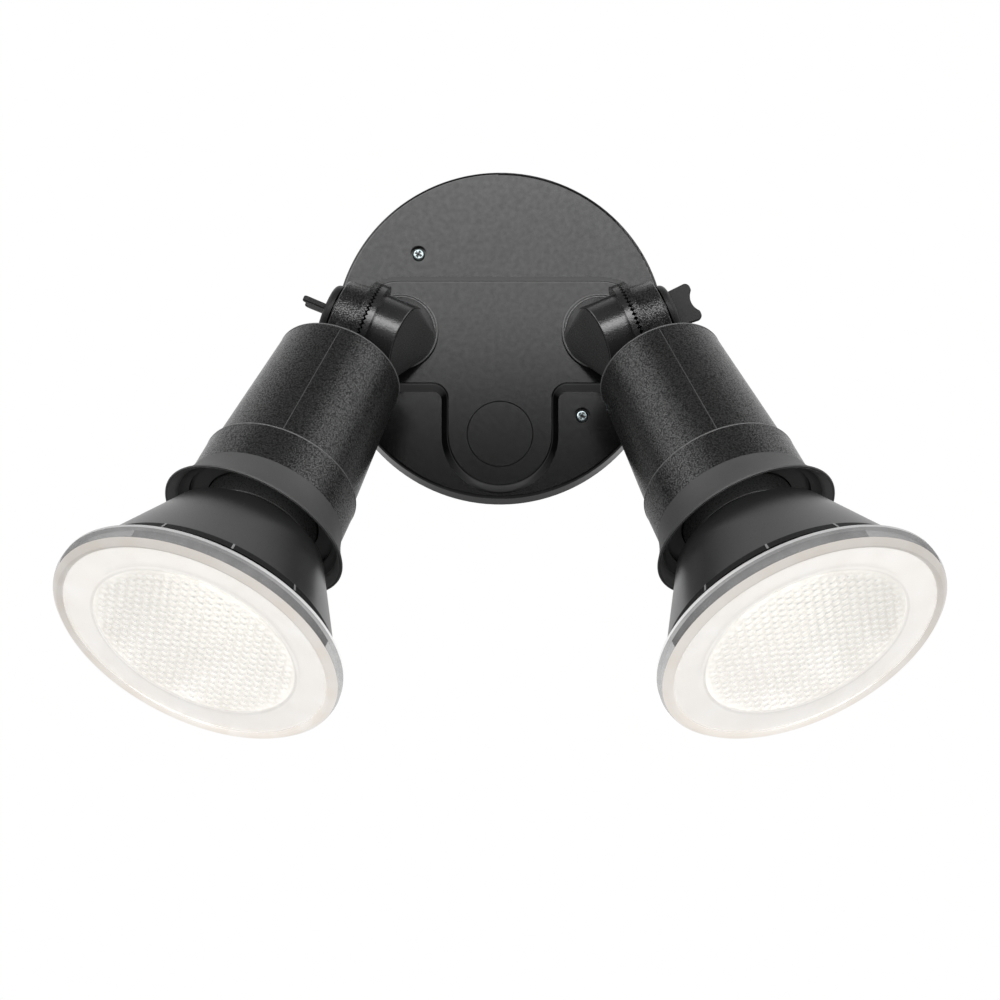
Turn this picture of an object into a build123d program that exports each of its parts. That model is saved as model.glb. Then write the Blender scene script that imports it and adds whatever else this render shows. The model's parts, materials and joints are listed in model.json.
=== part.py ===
from build123d import *
import os
from math import atan, cos, pi, radians, sqrt, tan

# Twin head wall spotlight. Sizes are in millimetres and angles in degrees.
# The wall is the plane Y = 0, the light faces -Y, +X is to the right and +Z is up.
# The origin is on the wall, at the middle of the base.

# Base cover
BASE_DIAMETER = 145.0
BASE_DEPTH = 15.0
BASE_DRAFT = 1.2
BASE_EDGE_ROUND = 1.4
COVER_WALL = 2.5
PLATFORM_HEIGHT = 5.0
PLATFORM_HALF_WIDTH = 22.5
PLATFORM_SLOPE = 28.0
PLATFORM_INNER_ROUND = 6.5
PLATFORM_EDGE_ROUND = 1.2
HEAD_SPACING = 86.0
PLUG_DROP = 44.0

# Cover screws, on a diagonal across the base
SCREW_SPACING = 100.0
SCREW_ANGLE = 135.0
SCREW_RADIUS = 1.5
SCREW_GAP = 0.2
SCREW_HEAD_RADIUS = 2.65
SCREW_HEAD_HEIGHT = 1.7
SCREW_HEAD_ROUND = 0.9
SCREW_RECESS_GAP = 0.85
SCREW_RECESS_DEPTH = 3.0
SCREW_BOSS_WALL = 2.5
SCREW_BOSS_LENGTH = 3.5
SCREW_BITE = 5.0
CROSS_LENGTH = 3.2
CROSS_WIDTH = 0.75
CROSS_DEPTH = 1.0

# Blanking plug in the lower lobe of the platform
PLUG_RADIUS = 14.1
PLUG_GAP = 0.18
PLUG_LIP = 1.6
PLUG_LIP_THICKNESS = 1.6

# Mounting plate and wall seal
PLATE_THICKNESS = 3.0
PLATE_EDGE_GAP = 0.4
CABLE_ENTRY_RADIUS = 10.0
WALL_HOLE_SPACING = 84.0
WALL_HOLE_RADIUS = 2.5
POST_RADIUS = 5.0
SEAL_THICKNESS = 1.5
SEAL_WIDTH = 4.6

# Terminal block and the leads behind the cover
TERMINAL_COUNT = 3
TERMINAL_PITCH = 10.0
TERMINAL_DEPTH = 15.0
TERMINAL_HEIGHT = 10.5
TERMINAL_DROP = 21.0
TERMINAL_WIRE_RADIUS = 1.7
TERMINAL_WIRE_HEIGHT = 3.0
TERMINAL_SCREW_RADIUS = 1.7
TERMINAL_SCREW_LENGTH = 4.5
LEAD_RADIUS = 1.6
LEAD_PLATE_GAP = 0.6
LEAD_BEND = 4.0
LEAD_REACH = 9.0
LEAD_START = 5.0

# Swivel turret
PAN_AT_REST = 22.7
FOOT_RADIUS = 16.3
FOOT_THICKNESS = 2.2
FOOT_ROUND = 1.0
FOOT_GAP = 0.15
DOME_RADIUS = 14.8
STEM_RADIUS = 9.0
STEM_BORE = 5.5
WIRE_OPENING = 2.5
STEM_GAP = 0.1
STEM_TAIL = 3.3
RING_RADIUS = 12.5
RING_WIDTH = 2.2
RING_HEIGHT = 1.0
RING_GAP = 0.05
TURRET_WASHER_RADIUS = 13.5
TURRET_WASHER_THICKNESS = 1.0
TURRET_NUT_FLATS = 26.0
TURRET_NUT_HEIGHT = 5.0
RUNNING_GAP = 0.2

# Toothed knuckle between turret and head
TILT_AT_REST = 32.2
PIVOT_HEIGHT = 21.7
KNUCKLE_OFFSET = 11.5
KNUCKLE_DROP = 6.2
TURRET_DRUM_RADIUS = 15.9
TURRET_DRUM_LENGTH = 18.0
TURRET_DRUM_ROUND = 0.6
TURRET_END_SLANT = 12.0
TURRET_FLANGE_RADIUS = 19.2
ARM_FLANGE_RADIUS = 18.9
FLANGE_THICKNESS = 3.0
TOOTH_COUNT = 60
TOOTH_DEPTH = 1.0
TOOTH_GAP = 0.2
TOOTH_LAND = 0.08
TOOTH_OVERCUT = 0.05
CUP_RADIUS = 11.0
CUP_DEPTH = 11.0
HUB_RADIUS = 5.2
HUB_RELIEF = 0.5
ARM_LENGTH = 13.8
ARM_DRUM_RADIUS = 16.2
ARM_DRUM_TAPER = 1.4
ARM_END_ROUND = 0.8
ARM_END_WALL = 3.0

# Clamp of the knuckle: insert, bolt, washer and wing knob
BOLT_RADIUS = 2.5
BOLT_GAP = 0.2
THREAD_GAP = 0.05
INSERT_WALL = 1.2
INSERT_LENGTH = 9.0
INSERT_SET_BACK = 1.2
INSERT_GROOVE = 0.4
INSERT_GROOVE_WIDTH = 2.0
BOLT_BITE = 7.5
BOLT_GRIP = 3.0
WASHER_RADIUS = 9.5
WASHER_THICKNESS = 1.0
WASHER_GAP = 0.1
WING_HUB_RADIUS = 11.8
WING_HUB_HEIGHT = 3.3
WING_HUB_ROUND = 2.7
WING_ROOT_WIDTH = 15.6
WING_LENGTH = 10.1
WING_WIDTH = 17.0
WING_THICKNESS = 2.4
WING_LOBE_RADIUS = 2.2
WING_SCALLOP_RADIUS = 6.5
WING_SCALLOP_DEPTH = 2.0
WING_SCALLOP_ROUND = 1.5
WING_EDGE_ROUND = 0.6

# Lampholder housing, along the lamp axis from the pivot
LAMP_AXIS_OFFSET = 1.4
HOLDER_START = 27.7
HOLDER_TAPER = 3.9
HOLDER_BACK_ROUND = 1.2
COLLAR_LENGTH = 17.0
COLLAR_STEP = 1.6
COLLAR_FLARE = 0.4
COLLAR_ROUND = 0.5
HOLDER_WALL = 2.7
HOLDER_BACK_WALL = 3.5
NECK_START = 1.6
NECK_END = 11.0
NECK_HALF_DEPTH = 10.5
NECK_ROUND = 3.0
WIRE_WAY_RADIUS = 3.2
WIRE_WAY_OFFSET = 6.5
WIRE_WAY_CLEAR = 0.8

# Screw socket inside the housing
SOCKET_WALL = 4.1
SOCKET_RIM = 3.0
SOCKET_CHAMBER = 4.5
SOCKET_FLOOR = 4.5
SHELL_WALL = 0.6
SHELL_GAP = 0.1
CONTACT_RADIUS = 5.0
CONTACT_THICKNESS = 1.2
CONTACT_ROUND = 0.4
CONTACT_GAP = 0.3
CONTACT_SCREW_OFFSET = 10.0
CONTACT_SCREW_HEAD_RADIUS = 2.0
CONTACT_SCREW_HEAD_HEIGHT = 1.5
CONTACT_SCREW_RADIUS = 1.2
CONTACT_SCREW_LENGTH = 3.5
HOLDER_LEAD_RADIUS = 0.9
HOLDER_LEAD_SPREAD = 1.6
HOLDER_LEAD_BEND = 2.5
HOLDER_LEAD_LENGTH = 14.0

# Rubber skirt between housing and lamp
SKIRT_LENGTH = 9.5
SKIRT_PROUD = 0.2
SKIRT_FLARE = 4.7
SKIRT_LIP_THICKNESS = 1.5
SKIRT_SPIGOT_LENGTH = 9.0
SKIRT_SPIGOT_WALL = 1.9
SKIRT_FLOOR = 1.6
SKIRT_STEP_WIDTH = 3.0
SKIRT_STEP_HEIGHT = 2.2
SKIRT_LAMP_GAP = 0.5

# Reflector lamp with its screw cap
CAP_CREST_RADIUS = 13.2
CAP_THREAD_DEPTH = 0.9
CAP_WALL = 0.6
CAP_PITCH = 3.6
CAP_TURNS = 5
CAP_COLLAR = 1.0
CAP_GAP = 0.3
TIP_RADIUS = 4.8
TIP_HEIGHT = 2.4
TIP_ROUND = 0.8
CAP_GLASS_HEIGHT = 4.0
CAP_GLASS_RADIUS = 10.0
CAP_SHOULDER = 1.6
CAP_SPIGOT_LENGTH = 10.0
LAMP_NECK_ROOT = 16.5
LAMP_NECK_RADIUS = 27.0
LAMP_NECK_RISE = 32.0
LAMP_NECK_LENGTH = 46.7
LAMP_NECK_SHOWN = 8.0
LAMP_WAIST_RADIUS = 23.0
LAMP_WAIST_REACH = 3.1
LAMP_SHOULDER_LENGTH = 7.5
LAMP_SHOULDER_INSET = 1.0
LAMP_CONE_LENGTH = 49.7
LAMP_CONE_STEP = 5.4
LAMP_WALL = 2.0
RECESS_LENGTH = 3.6
RECESS_DEPTH = 2.6
RECESS_RIB_COUNT = 12
RECESS_RIB_WIDTH = 1.4
RECESS_RIB_DROP = 0.5
LENS_RADIUS = 58.3
LENS_RING_LENGTH = 6.3
LENS_RING_WALL = 2.2
LENS_RING_DRAFT = 0.5
LENS_EDGE_DRAFT = 0.7
LENS_BEVEL = 2.4
LENS_FACE_RISE = 2.0
LENS_FACE_RADIUS = 41.0
LENS_DISH = 0.8
LENS_THICKNESS = 2.2
LENS_RIM_GAP = 0.2
REFLECTOR_WALL = 1.2
REFLECTOR_BASE_RADIUS = 25.0
REFLECTOR_DEPTH = 30.0
REFLECTOR_RIM = 2.0
REFLECTOR_GAP = 0.3
SPREADER_THICKNESS = 4.0
BOARD_THICKNESS = 1.6
BOARD_GAP = 0.6
EMITTER_SIZE = 3.5
EMITTER_HEIGHT = 0.8
EMITTER_RADII = (17.0, 8.0)
EMITTER_COUNTS = (12, 6)
DRIVER_HALF_WIDTH = 12.0
DRIVER_LENGTH = 46.0
DRIVER_COIL_WIDTH = 13.0
DRIVER_COIL_DEPTH = 8.0
DRIVER_COIL_HEIGHT = 12.0
DRIVER_CAPACITOR_RADIUS = 4.0
DRIVER_CAPACITOR_LENGTH = 14.0
DRIVER_PART_DROP = 22.0

# Base sizes that follow from the ones above
BASE_RADIUS = BASE_DIAMETER / 2
FRONT_RADIUS = BASE_RADIUS - BASE_DRAFT
COVER_INSIDE = BASE_DEPTH - COVER_WALL
PLATFORM_FRONT = BASE_DEPTH + PLATFORM_HEIGHT
PLATFORM_INSIDE = PLATFORM_FRONT - COVER_WALL
HEAD_OFFSET = HEAD_SPACING / 2
SCREW_SEAT = BASE_DEPTH - SCREW_RECESS_DEPTH
SCREW_RECESS_RADIUS = SCREW_HEAD_RADIUS + SCREW_RECESS_GAP
POST_TOP = SCREW_SEAT - SCREW_BOSS_LENGTH
PLATE_RADIUS = BASE_RADIUS - SEAL_WIDTH - PLATE_EDGE_GAP
TERMINAL_LENGTH = TERMINAL_COUNT * TERMINAL_PITCH
STEM_LENGTH = COVER_WALL + RUNNING_GAP + TURRET_WASHER_THICKNESS + TURRET_NUT_HEIGHT + STEM_TAIL
FOOT_TOP = FOOT_GAP + FOOT_THICKNESS
RING_OUTER = RING_RADIUS + RING_WIDTH / 2
RING_INNER = RING_RADIUS - RING_WIDTH / 2

# Knuckle sizes that follow
INSERT_RADIUS = BOLT_RADIUS + THREAD_GAP + INSERT_WALL
ARM_END_RADIUS = ARM_DRUM_RADIUS - ARM_DRUM_TAPER
WASHER_BASE = ARM_LENGTH + WASHER_GAP
WING_BASE = WASHER_BASE + WASHER_THICKNESS + WASHER_GAP
BOLT_END = INSERT_SET_BACK + BOLT_BITE

# Stations along the lamp axis, counted from the pivot
SOCKET_START = HOLDER_START + HOLDER_BACK_WALL
SOCKET_SEAT = SOCKET_START + SOCKET_CHAMBER + SOCKET_FLOOR
LAMP_TIP = SOCKET_SEAT + CONTACT_THICKNESS + CONTACT_GAP
CAP_BOTTOM = LAMP_TIP + TIP_HEIGHT + CAP_GLASS_HEIGHT
CAP_THREAD_START = CAP_BOTTOM + CAP_SHOULDER
CAP_TOP = CAP_THREAD_START + CAP_TURNS * CAP_PITCH + CAP_COLLAR
NECK_TOP = CAP_TOP + LAMP_NECK_LENGTH
CONE_TOP = NECK_TOP + LAMP_CONE_LENGTH
RECESS_TOP = CONE_TOP + RECESS_LENGTH
LENS_FRONT = RECESS_TOP + LENS_RING_LENGTH
LENS_FACE = LENS_FRONT + LENS_FACE_RISE - LENS_DISH
LENS_BACK = LENS_FACE - LENS_THICKNESS
HOLDER_FRONT = NECK_TOP - LAMP_NECK_SHOWN
COLLAR_START = HOLDER_FRONT - COLLAR_LENGTH
SPIGOT_START = HOLDER_FRONT - SKIRT_SPIGOT_LENGTH
SPREADER_TOP = LENS_BACK - REFLECTOR_DEPTH
SPREADER_BOTTOM = SPREADER_TOP - SPREADER_THICKNESS
WAIST_TOP = NECK_TOP + LAMP_WAIST_REACH
SHOULDER_TOP = WAIST_TOP + LAMP_SHOULDER_LENGTH

# Radii about the lamp axis that follow
CAP_ROOT_RADIUS = CAP_CREST_RADIUS - CAP_THREAD_DEPTH
SHELL_BORE = CAP_CREST_RADIUS + CAP_GAP
SHELL_RADIUS = SHELL_BORE + CAP_THREAD_DEPTH + SHELL_WALL
SOCKET_RADIUS = SHELL_RADIUS + SHELL_GAP + SOCKET_WALL
SKIRT_BORE = LAMP_NECK_RADIUS + SKIRT_LAMP_GAP
SKIRT_SEAL_RADIUS = LAMP_WAIST_RADIUS + SKIRT_LAMP_GAP
SPIGOT_RADIUS = SKIRT_BORE + SKIRT_SPIGOT_WALL
COLLAR_RADIUS = SPIGOT_RADIUS + HOLDER_WALL
HOLDER_STEP_RADIUS = COLLAR_RADIUS - COLLAR_STEP
HOLDER_BACK_RADIUS = HOLDER_STEP_RADIUS - HOLDER_TAPER
SKIRT_ROOT_RADIUS = COLLAR_RADIUS + COLLAR_FLARE + SKIRT_PROUD
SKIRT_LIP_RADIUS = SKIRT_ROOT_RADIUS + SKIRT_FLARE
LAMP_CONE_RADIUS = LENS_RADIUS - LAMP_CONE_STEP
RECESS_RADIUS = LAMP_CONE_RADIUS - RECESS_DEPTH
LENS_RING_BORE = LENS_RADIUS - LENS_RING_WALL
LAMP_BORE = RECESS_RADIUS - LAMP_WALL
CONE_SLOPE = (LAMP_CONE_RADIUS - LAMP_NECK_RADIUS) / LAMP_CONE_LENGTH
CONE_WALL = LAMP_WALL / cos(atan(CONE_SLOPE))
SHOULDER_RADIUS = LAMP_NECK_RADIUS + CONE_SLOPE * (SHOULDER_TOP - NECK_TOP)

# Frames: the wall, the right turret and the right head
SEATED = (Align.CENTER, Align.CENTER, Align.MIN)
ALONG_X = Rot(0, 90, 0)
WALL = Plane(origin=(0, 0, 0), x_dir=(1, 0, 0), z_dir=(0, -1, 0)).location
SWIVEL = WALL * Pos(HEAD_OFFSET, 0, PLATFORM_FRONT) * Rot(0, 0, PAN_AT_REST)
PIVOT = Pos(KNUCKLE_OFFSET, -KNUCKLE_DROP, PIVOT_HEIGHT)
KNUCKLE = SWIVEL * PIVOT * ALONG_X
HEAD = SWIVEL * PIVOT * Rot(90 - TILT_AT_REST, 0, 0)
LAMP_AXIS = Pos(LAMP_AXIS_OFFSET, 0, 0)


def disc(radius, bottom, top):
    """Cylinder about Z between two heights."""
    return Pos(0, 0, bottom) * Cylinder(radius, top - bottom, align=SEATED)


def tube(outer, inner, bottom, top):
    """Ring about Z between two heights."""
    return disc(outer, bottom, top) - disc(inner, bottom, top)


def turned(*points):
    """Solid of revolution about Z from (radius, height) corners."""
    return revolve(Plane.XZ * make_face(Polyline(*points, close=True)), Axis.Z)


def rims(part, radius, height):
    """Circular edges of a turned part that have this radius at this height."""
    circles = part.edges().filter_by(GeomType.CIRCLE)
    return [edge for edge in circles
            if abs(edge.radius - radius) < 0.01 and abs(edge.arc_center.Z - height) < 0.01]


def swept(path, radius):
    """Round wire along a path."""
    return sweep(Plane(path @ 0, z_dir=path % 0) * Circle(radius), path)


def thread_points(root, crest, start):
    """Zigzag (radius, height) corners of the lamp thread, from its start upwards."""
    points = [(root, start)]
    for turn in range(CAP_TURNS):
        points.append((crest, start + (turn + 0.5) * CAP_PITCH))
        points.append((root, start + (turn + 1) * CAP_PITCH))
    return points


# Base


def platform_outline(half_width, inner_round):
    """T shape round the two turrets and the plug, with rounded inner corners."""
    bar = SlotCenterToCenter(HEAD_SPACING, 2 * half_width)
    lobe = Pos(0, -PLUG_DROP / 2) * Rot(0, 0, 90) * SlotCenterToCenter(PLUG_DROP, 2 * half_width)
    outline = bar + lobe
    corners = [point for point in outline.vertices()
               if abs(abs(point.X) - half_width) < 0.01 and abs(point.Y + half_width) < 0.01]
    return fillet(corners, inner_round)


def screw_places():
    """Places of the two cover screws across the base."""
    return PolarLocations(SCREW_SPACING / 2, 2, start_angle=SCREW_ANGLE)


def make_base_cover():
    shell = turned((0, SEAL_THICKNESS), (BASE_RADIUS, SEAL_THICKNESS),
                   (FRONT_RADIUS, BASE_DEPTH), (0, BASE_DEPTH))
    shell = fillet(rims(shell, FRONT_RADIUS, BASE_DEPTH), BASE_EDGE_ROUND)
    foot_spread = PLATFORM_HEIGHT * tan(radians(PLATFORM_SLOPE))
    foot = platform_outline(PLATFORM_HALF_WIDTH + foot_spread, PLATFORM_INNER_ROUND - foot_spread)
    platform = Pos(0, 0, BASE_DEPTH) * extrude(foot, PLATFORM_HEIGHT, taper=PLATFORM_SLOPE)
    top_edges = platform.edges().filter_by_position(Axis.Z, PLATFORM_FRONT - 0.01, PLATFORM_FRONT + 0.01)
    shell += fillet(top_edges, PLATFORM_EDGE_ROUND)
    shell -= turned((0, SEAL_THICKNESS), (BASE_RADIUS - COVER_WALL, SEAL_THICKNESS),
                    (FRONT_RADIUS - COVER_WALL, COVER_INSIDE), (0, COVER_INSIDE))
    pocket = platform_outline(PLATFORM_HALF_WIDTH - COVER_WALL, PLATFORM_INNER_ROUND)
    shell -= Pos(0, 0, COVER_INSIDE) * extrude(pocket, PLATFORM_HEIGHT)
    boss_radius = SCREW_RECESS_RADIUS + SCREW_BOSS_WALL
    shell += screw_places() * disc(boss_radius, POST_TOP, COVER_INSIDE)
    shell -= screw_places() * disc(SCREW_RECESS_RADIUS, SCREW_SEAT, BASE_DEPTH)
    shell -= screw_places() * disc(SCREW_RADIUS + SCREW_GAP, POST_TOP, SCREW_SEAT)
    stem_hole = disc(STEM_RADIUS + STEM_GAP, PLATFORM_INSIDE, PLATFORM_FRONT)
    shell -= GridLocations(HEAD_SPACING, 0, 2, 1) * stem_hole
    return shell - Pos(0, -PLUG_DROP) * disc(PLUG_RADIUS, PLATFORM_INSIDE, PLATFORM_FRONT)


def make_blanking_plug():
    face = disc(PLUG_RADIUS - PLUG_GAP, PLATFORM_INSIDE, PLATFORM_FRONT)
    lip = disc(PLUG_RADIUS + PLUG_LIP, PLATFORM_INSIDE - PLUG_LIP_THICKNESS, PLATFORM_INSIDE)
    return Pos(0, -PLUG_DROP) * (face + lip)


def make_mounting_plate():
    plate = disc(PLATE_RADIUS, 0, PLATE_THICKNESS)
    plate += screw_places() * disc(POST_RADIUS, PLATE_THICKNESS, POST_TOP)
    plate -= screw_places() * disc(SCREW_RADIUS, POST_TOP - SCREW_BITE - SCREW_GAP, POST_TOP)
    plate -= disc(CABLE_ENTRY_RADIUS, 0, PLATE_THICKNESS)
    wall_hole = disc(WALL_HOLE_RADIUS, 0, PLATE_THICKNESS)
    return plate - GridLocations(0, WALL_HOLE_SPACING, 1, 2) * wall_hole


def make_wall_seal():
    return tube(BASE_RADIUS, BASE_RADIUS - SEAL_WIDTH, 0, SEAL_THICKNESS)


def make_cover_screw():
    head_top = SCREW_SEAT + SCREW_HEAD_HEIGHT
    head = disc(SCREW_HEAD_RADIUS, SCREW_SEAT, head_top)
    head = fillet(rims(head, SCREW_HEAD_RADIUS, head_top), SCREW_HEAD_ROUND)
    slot = Pos(0, 0, head_top - CROSS_DEPTH) * Box(CROSS_LENGTH, CROSS_WIDTH, CROSS_DEPTH, align=SEATED)
    head -= slot
    head -= Rot(0, 0, 90) * slot
    return head + disc(SCREW_RADIUS, POST_TOP - SCREW_BITE, SCREW_SEAT)


def terminal_places():
    return Pos(0, -TERMINAL_DROP) * GridLocations(TERMINAL_PITCH, 0, TERMINAL_COUNT, 1)


def make_terminal_block():
    block = Box(TERMINAL_LENGTH, TERMINAL_DEPTH, TERMINAL_HEIGHT, align=SEATED)
    block = Pos(0, -TERMINAL_DROP, PLATE_THICKNESS) * block
    wire_height = PLATE_THICKNESS + TERMINAL_WIRE_HEIGHT
    wire_hole = Pos(0, 0, wire_height) * Rot(90, 0, 0) * Cylinder(TERMINAL_WIRE_RADIUS, TERMINAL_DEPTH)
    block_top = PLATE_THICKNESS + TERMINAL_HEIGHT
    screw_hole = disc(TERMINAL_SCREW_RADIUS, wire_height, block_top)
    places = terminal_places()
    return block - places * wire_hole - places * screw_hole


def make_terminal_screw():
    bottom = PLATE_THICKNESS + TERMINAL_WIRE_HEIGHT
    top = bottom + TERMINAL_SCREW_LENGTH
    screw = disc(TERMINAL_SCREW_RADIUS, bottom, top)
    slot = Box(3 * TERMINAL_SCREW_RADIUS, CROSS_WIDTH, CROSS_DEPTH, align=SEATED)
    return screw - Pos(0, 0, top - CROSS_DEPTH) * slot


def make_base_lead():
    """Lead from the end of the terminal block into the bore of the right turret."""
    height = PLATE_THICKNESS + LEAD_PLATE_GAP + LEAD_RADIUS
    block_end = TERMINAL_LENGTH / 2
    path = FilletPolyline((block_end, -TERMINAL_DROP, height),
                          (block_end + LEAD_START, -TERMINAL_DROP, height),
                          (HEAD_OFFSET, 0, height),
                          (HEAD_OFFSET, 0, height + LEAD_REACH), radius=LEAD_BEND)
    return swept(path, LEAD_RADIUS)


# Knuckle


def toothed_flange(radius, phase):
    """Ring with radial teeth whose crests lie on Z = 0 and whose body lies below."""
    over = TOOTH_OVERCUT
    reach = radius + TOOTH_DEPTH
    half = reach * tan(pi / TOOTH_COUNT * (1 - TOOTH_LAND))
    apex = (0, 0, over)
    left = (reach, -half, over)
    right = (reach, half, over)
    root = (reach, 0, -TOOTH_DEPTH * reach / radius)
    sides = ((apex, left, right), (apex, right, root), (apex, root, left), (left, root, right))
    groove = Solid(Shell([Face(Wire.make_polygon(side, close=True)) for side in sides]))
    grooves = PolarLocations(0, TOOTH_COUNT, start_angle=phase) * groove
    return tube(radius, CUP_RADIUS, -FLANGE_THICKNESS, 0) - grooves


def make_turret():
    foot = disc(FOOT_RADIUS, FOOT_GAP, FOOT_TOP)
    foot = fillet(rims(foot, FOOT_RADIUS, FOOT_TOP), FOOT_ROUND)
    stem = disc(STEM_RADIUS, -STEM_LENGTH, FOOT_TOP)
    dome_end = KNUCKLE_OFFSET - FLANGE_THICKNESS / 2
    half_space = Box(3 * DOME_RADIUS, 2 * DOME_RADIUS, DOME_RADIUS,
                     align=(Align.MAX, Align.CENTER, Align.MIN))
    dome = Pos(0, 0, FOOT_TOP) * Sphere(DOME_RADIUS) & Pos(dome_end, 0, FOOT_TOP) * half_space
    reach = TURRET_DRUM_LENGTH + TURRET_DRUM_RADIUS * tan(radians(TURRET_END_SLANT))
    drum = disc(TURRET_DRUM_RADIUS, -reach, -FLANGE_THICKNESS / 2)
    beyond = Box(4 * TURRET_DRUM_RADIUS, 4 * TURRET_DRUM_RADIUS, 2 * TURRET_DRUM_RADIUS,
                 align=(Align.CENTER, Align.CENTER, Align.MAX))
    drum -= Pos(0, 0, -TURRET_DRUM_LENGTH) * Rot(0, TURRET_END_SLANT, 0) * beyond
    drum = fillet(drum.faces().sort_by(Axis.Z)[0].edges(), TURRET_DRUM_ROUND)
    crest = Pos(0, 0, -TOOTH_GAP / 2)
    knuckle = PIVOT * ALONG_X
    turret = foot + stem + dome + knuckle * drum
    turret -= knuckle * disc(CUP_RADIUS, -CUP_DEPTH, 0)
    turret += knuckle * crest * toothed_flange(TURRET_FLANGE_RADIUS, 0)
    hub = disc(HUB_RADIUS, -CUP_DEPTH, -HUB_RELIEF)
    hub -= disc(INSERT_RADIUS, -INSERT_SET_BACK - INSERT_LENGTH, -HUB_RELIEF)
    turret += knuckle * hub
    turret -= disc(STEM_BORE, -STEM_LENGTH, PIVOT_HEIGHT - CUP_RADIUS + WIRE_OPENING)
    return turret - tube(RING_OUTER, RING_INNER, FOOT_GAP, RING_GAP + RING_HEIGHT)


def make_turret_seal():
    return tube(RING_OUTER, RING_INNER, RING_GAP, RING_GAP + RING_HEIGHT)


def make_turret_washer():
    top = -COVER_WALL - RUNNING_GAP
    return tube(TURRET_WASHER_RADIUS, STEM_RADIUS + STEM_GAP, top - TURRET_WASHER_THICKNESS, top)


def make_turret_nut():
    top = -COVER_WALL - RUNNING_GAP - TURRET_WASHER_THICKNESS
    hexagon = RegularPolygon(TURRET_NUT_FLATS / 2, 6, major_radius=False) - Circle(STEM_RADIUS)
    return Pos(0, 0, top - TURRET_NUT_HEIGHT) * extrude(hexagon, TURRET_NUT_HEIGHT)


def make_clamp_insert():
    bottom = -INSERT_SET_BACK - INSERT_LENGTH
    insert = tube(INSERT_RADIUS, BOLT_RADIUS + THREAD_GAP, bottom, -INSERT_SET_BACK)
    groove = bottom + (INSERT_LENGTH - INSERT_GROOVE_WIDTH) / 2
    return insert - tube(INSERT_RADIUS, INSERT_RADIUS - INSERT_GROOVE, groove, groove + INSERT_GROOVE_WIDTH)


def make_clamp_washer():
    return tube(WASHER_RADIUS, BOLT_RADIUS + BOLT_GAP, WASHER_BASE, WASHER_BASE + WASHER_THICKNESS)


def make_clamp_bolt():
    bolt = disc(BOLT_RADIUS, -BOLT_END, WING_BASE + BOLT_GRIP)
    return chamfer(rims(bolt, BOLT_RADIUS, -BOLT_END), BOLT_RADIUS / 4)


def make_wing_knob():
    hub_top = WING_BASE + WING_HUB_HEIGHT
    hub = disc(WING_HUB_RADIUS, WING_BASE, hub_top)
    hub = fillet(rims(hub, WING_HUB_RADIUS, hub_top), WING_HUB_ROUND)
    tip = hub_top + WING_LENGTH
    half_root = WING_ROOT_WIDTH / 2
    half_tip = WING_WIDTH / 2
    root_height = WING_BASE + BOLT_GRIP
    blade = make_face(Polyline((-half_root, root_height), (half_root, root_height),
                               (half_tip, tip), (-half_tip, tip), close=True))
    scallop_height = tip + WING_SCALLOP_RADIUS - WING_SCALLOP_DEPTH
    blade -= Pos(0, scallop_height) * Circle(WING_SCALLOP_RADIUS)
    half_scallop = sqrt(WING_SCALLOP_DEPTH * (2 * WING_SCALLOP_RADIUS - WING_SCALLOP_DEPTH))
    corners = [point for point in blade.vertices() if abs(abs(point.X) - half_tip) < 0.01]
    blade = fillet(corners, WING_LOBE_RADIUS)
    corners = [point for point in blade.vertices() if abs(abs(point.X) - half_scallop) < 0.01]
    blade = fillet(corners, WING_SCALLOP_ROUND)
    blade = extrude(Plane.XZ * blade, WING_THICKNESS / 2, both=True)
    faces = blade.faces().filter_by(Axis.Y)
    blade = fillet(faces.edges(), WING_EDGE_ROUND)
    return hub + blade - disc(BOLT_RADIUS, WING_BASE, WING_BASE + BOLT_GRIP)


# Head


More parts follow.
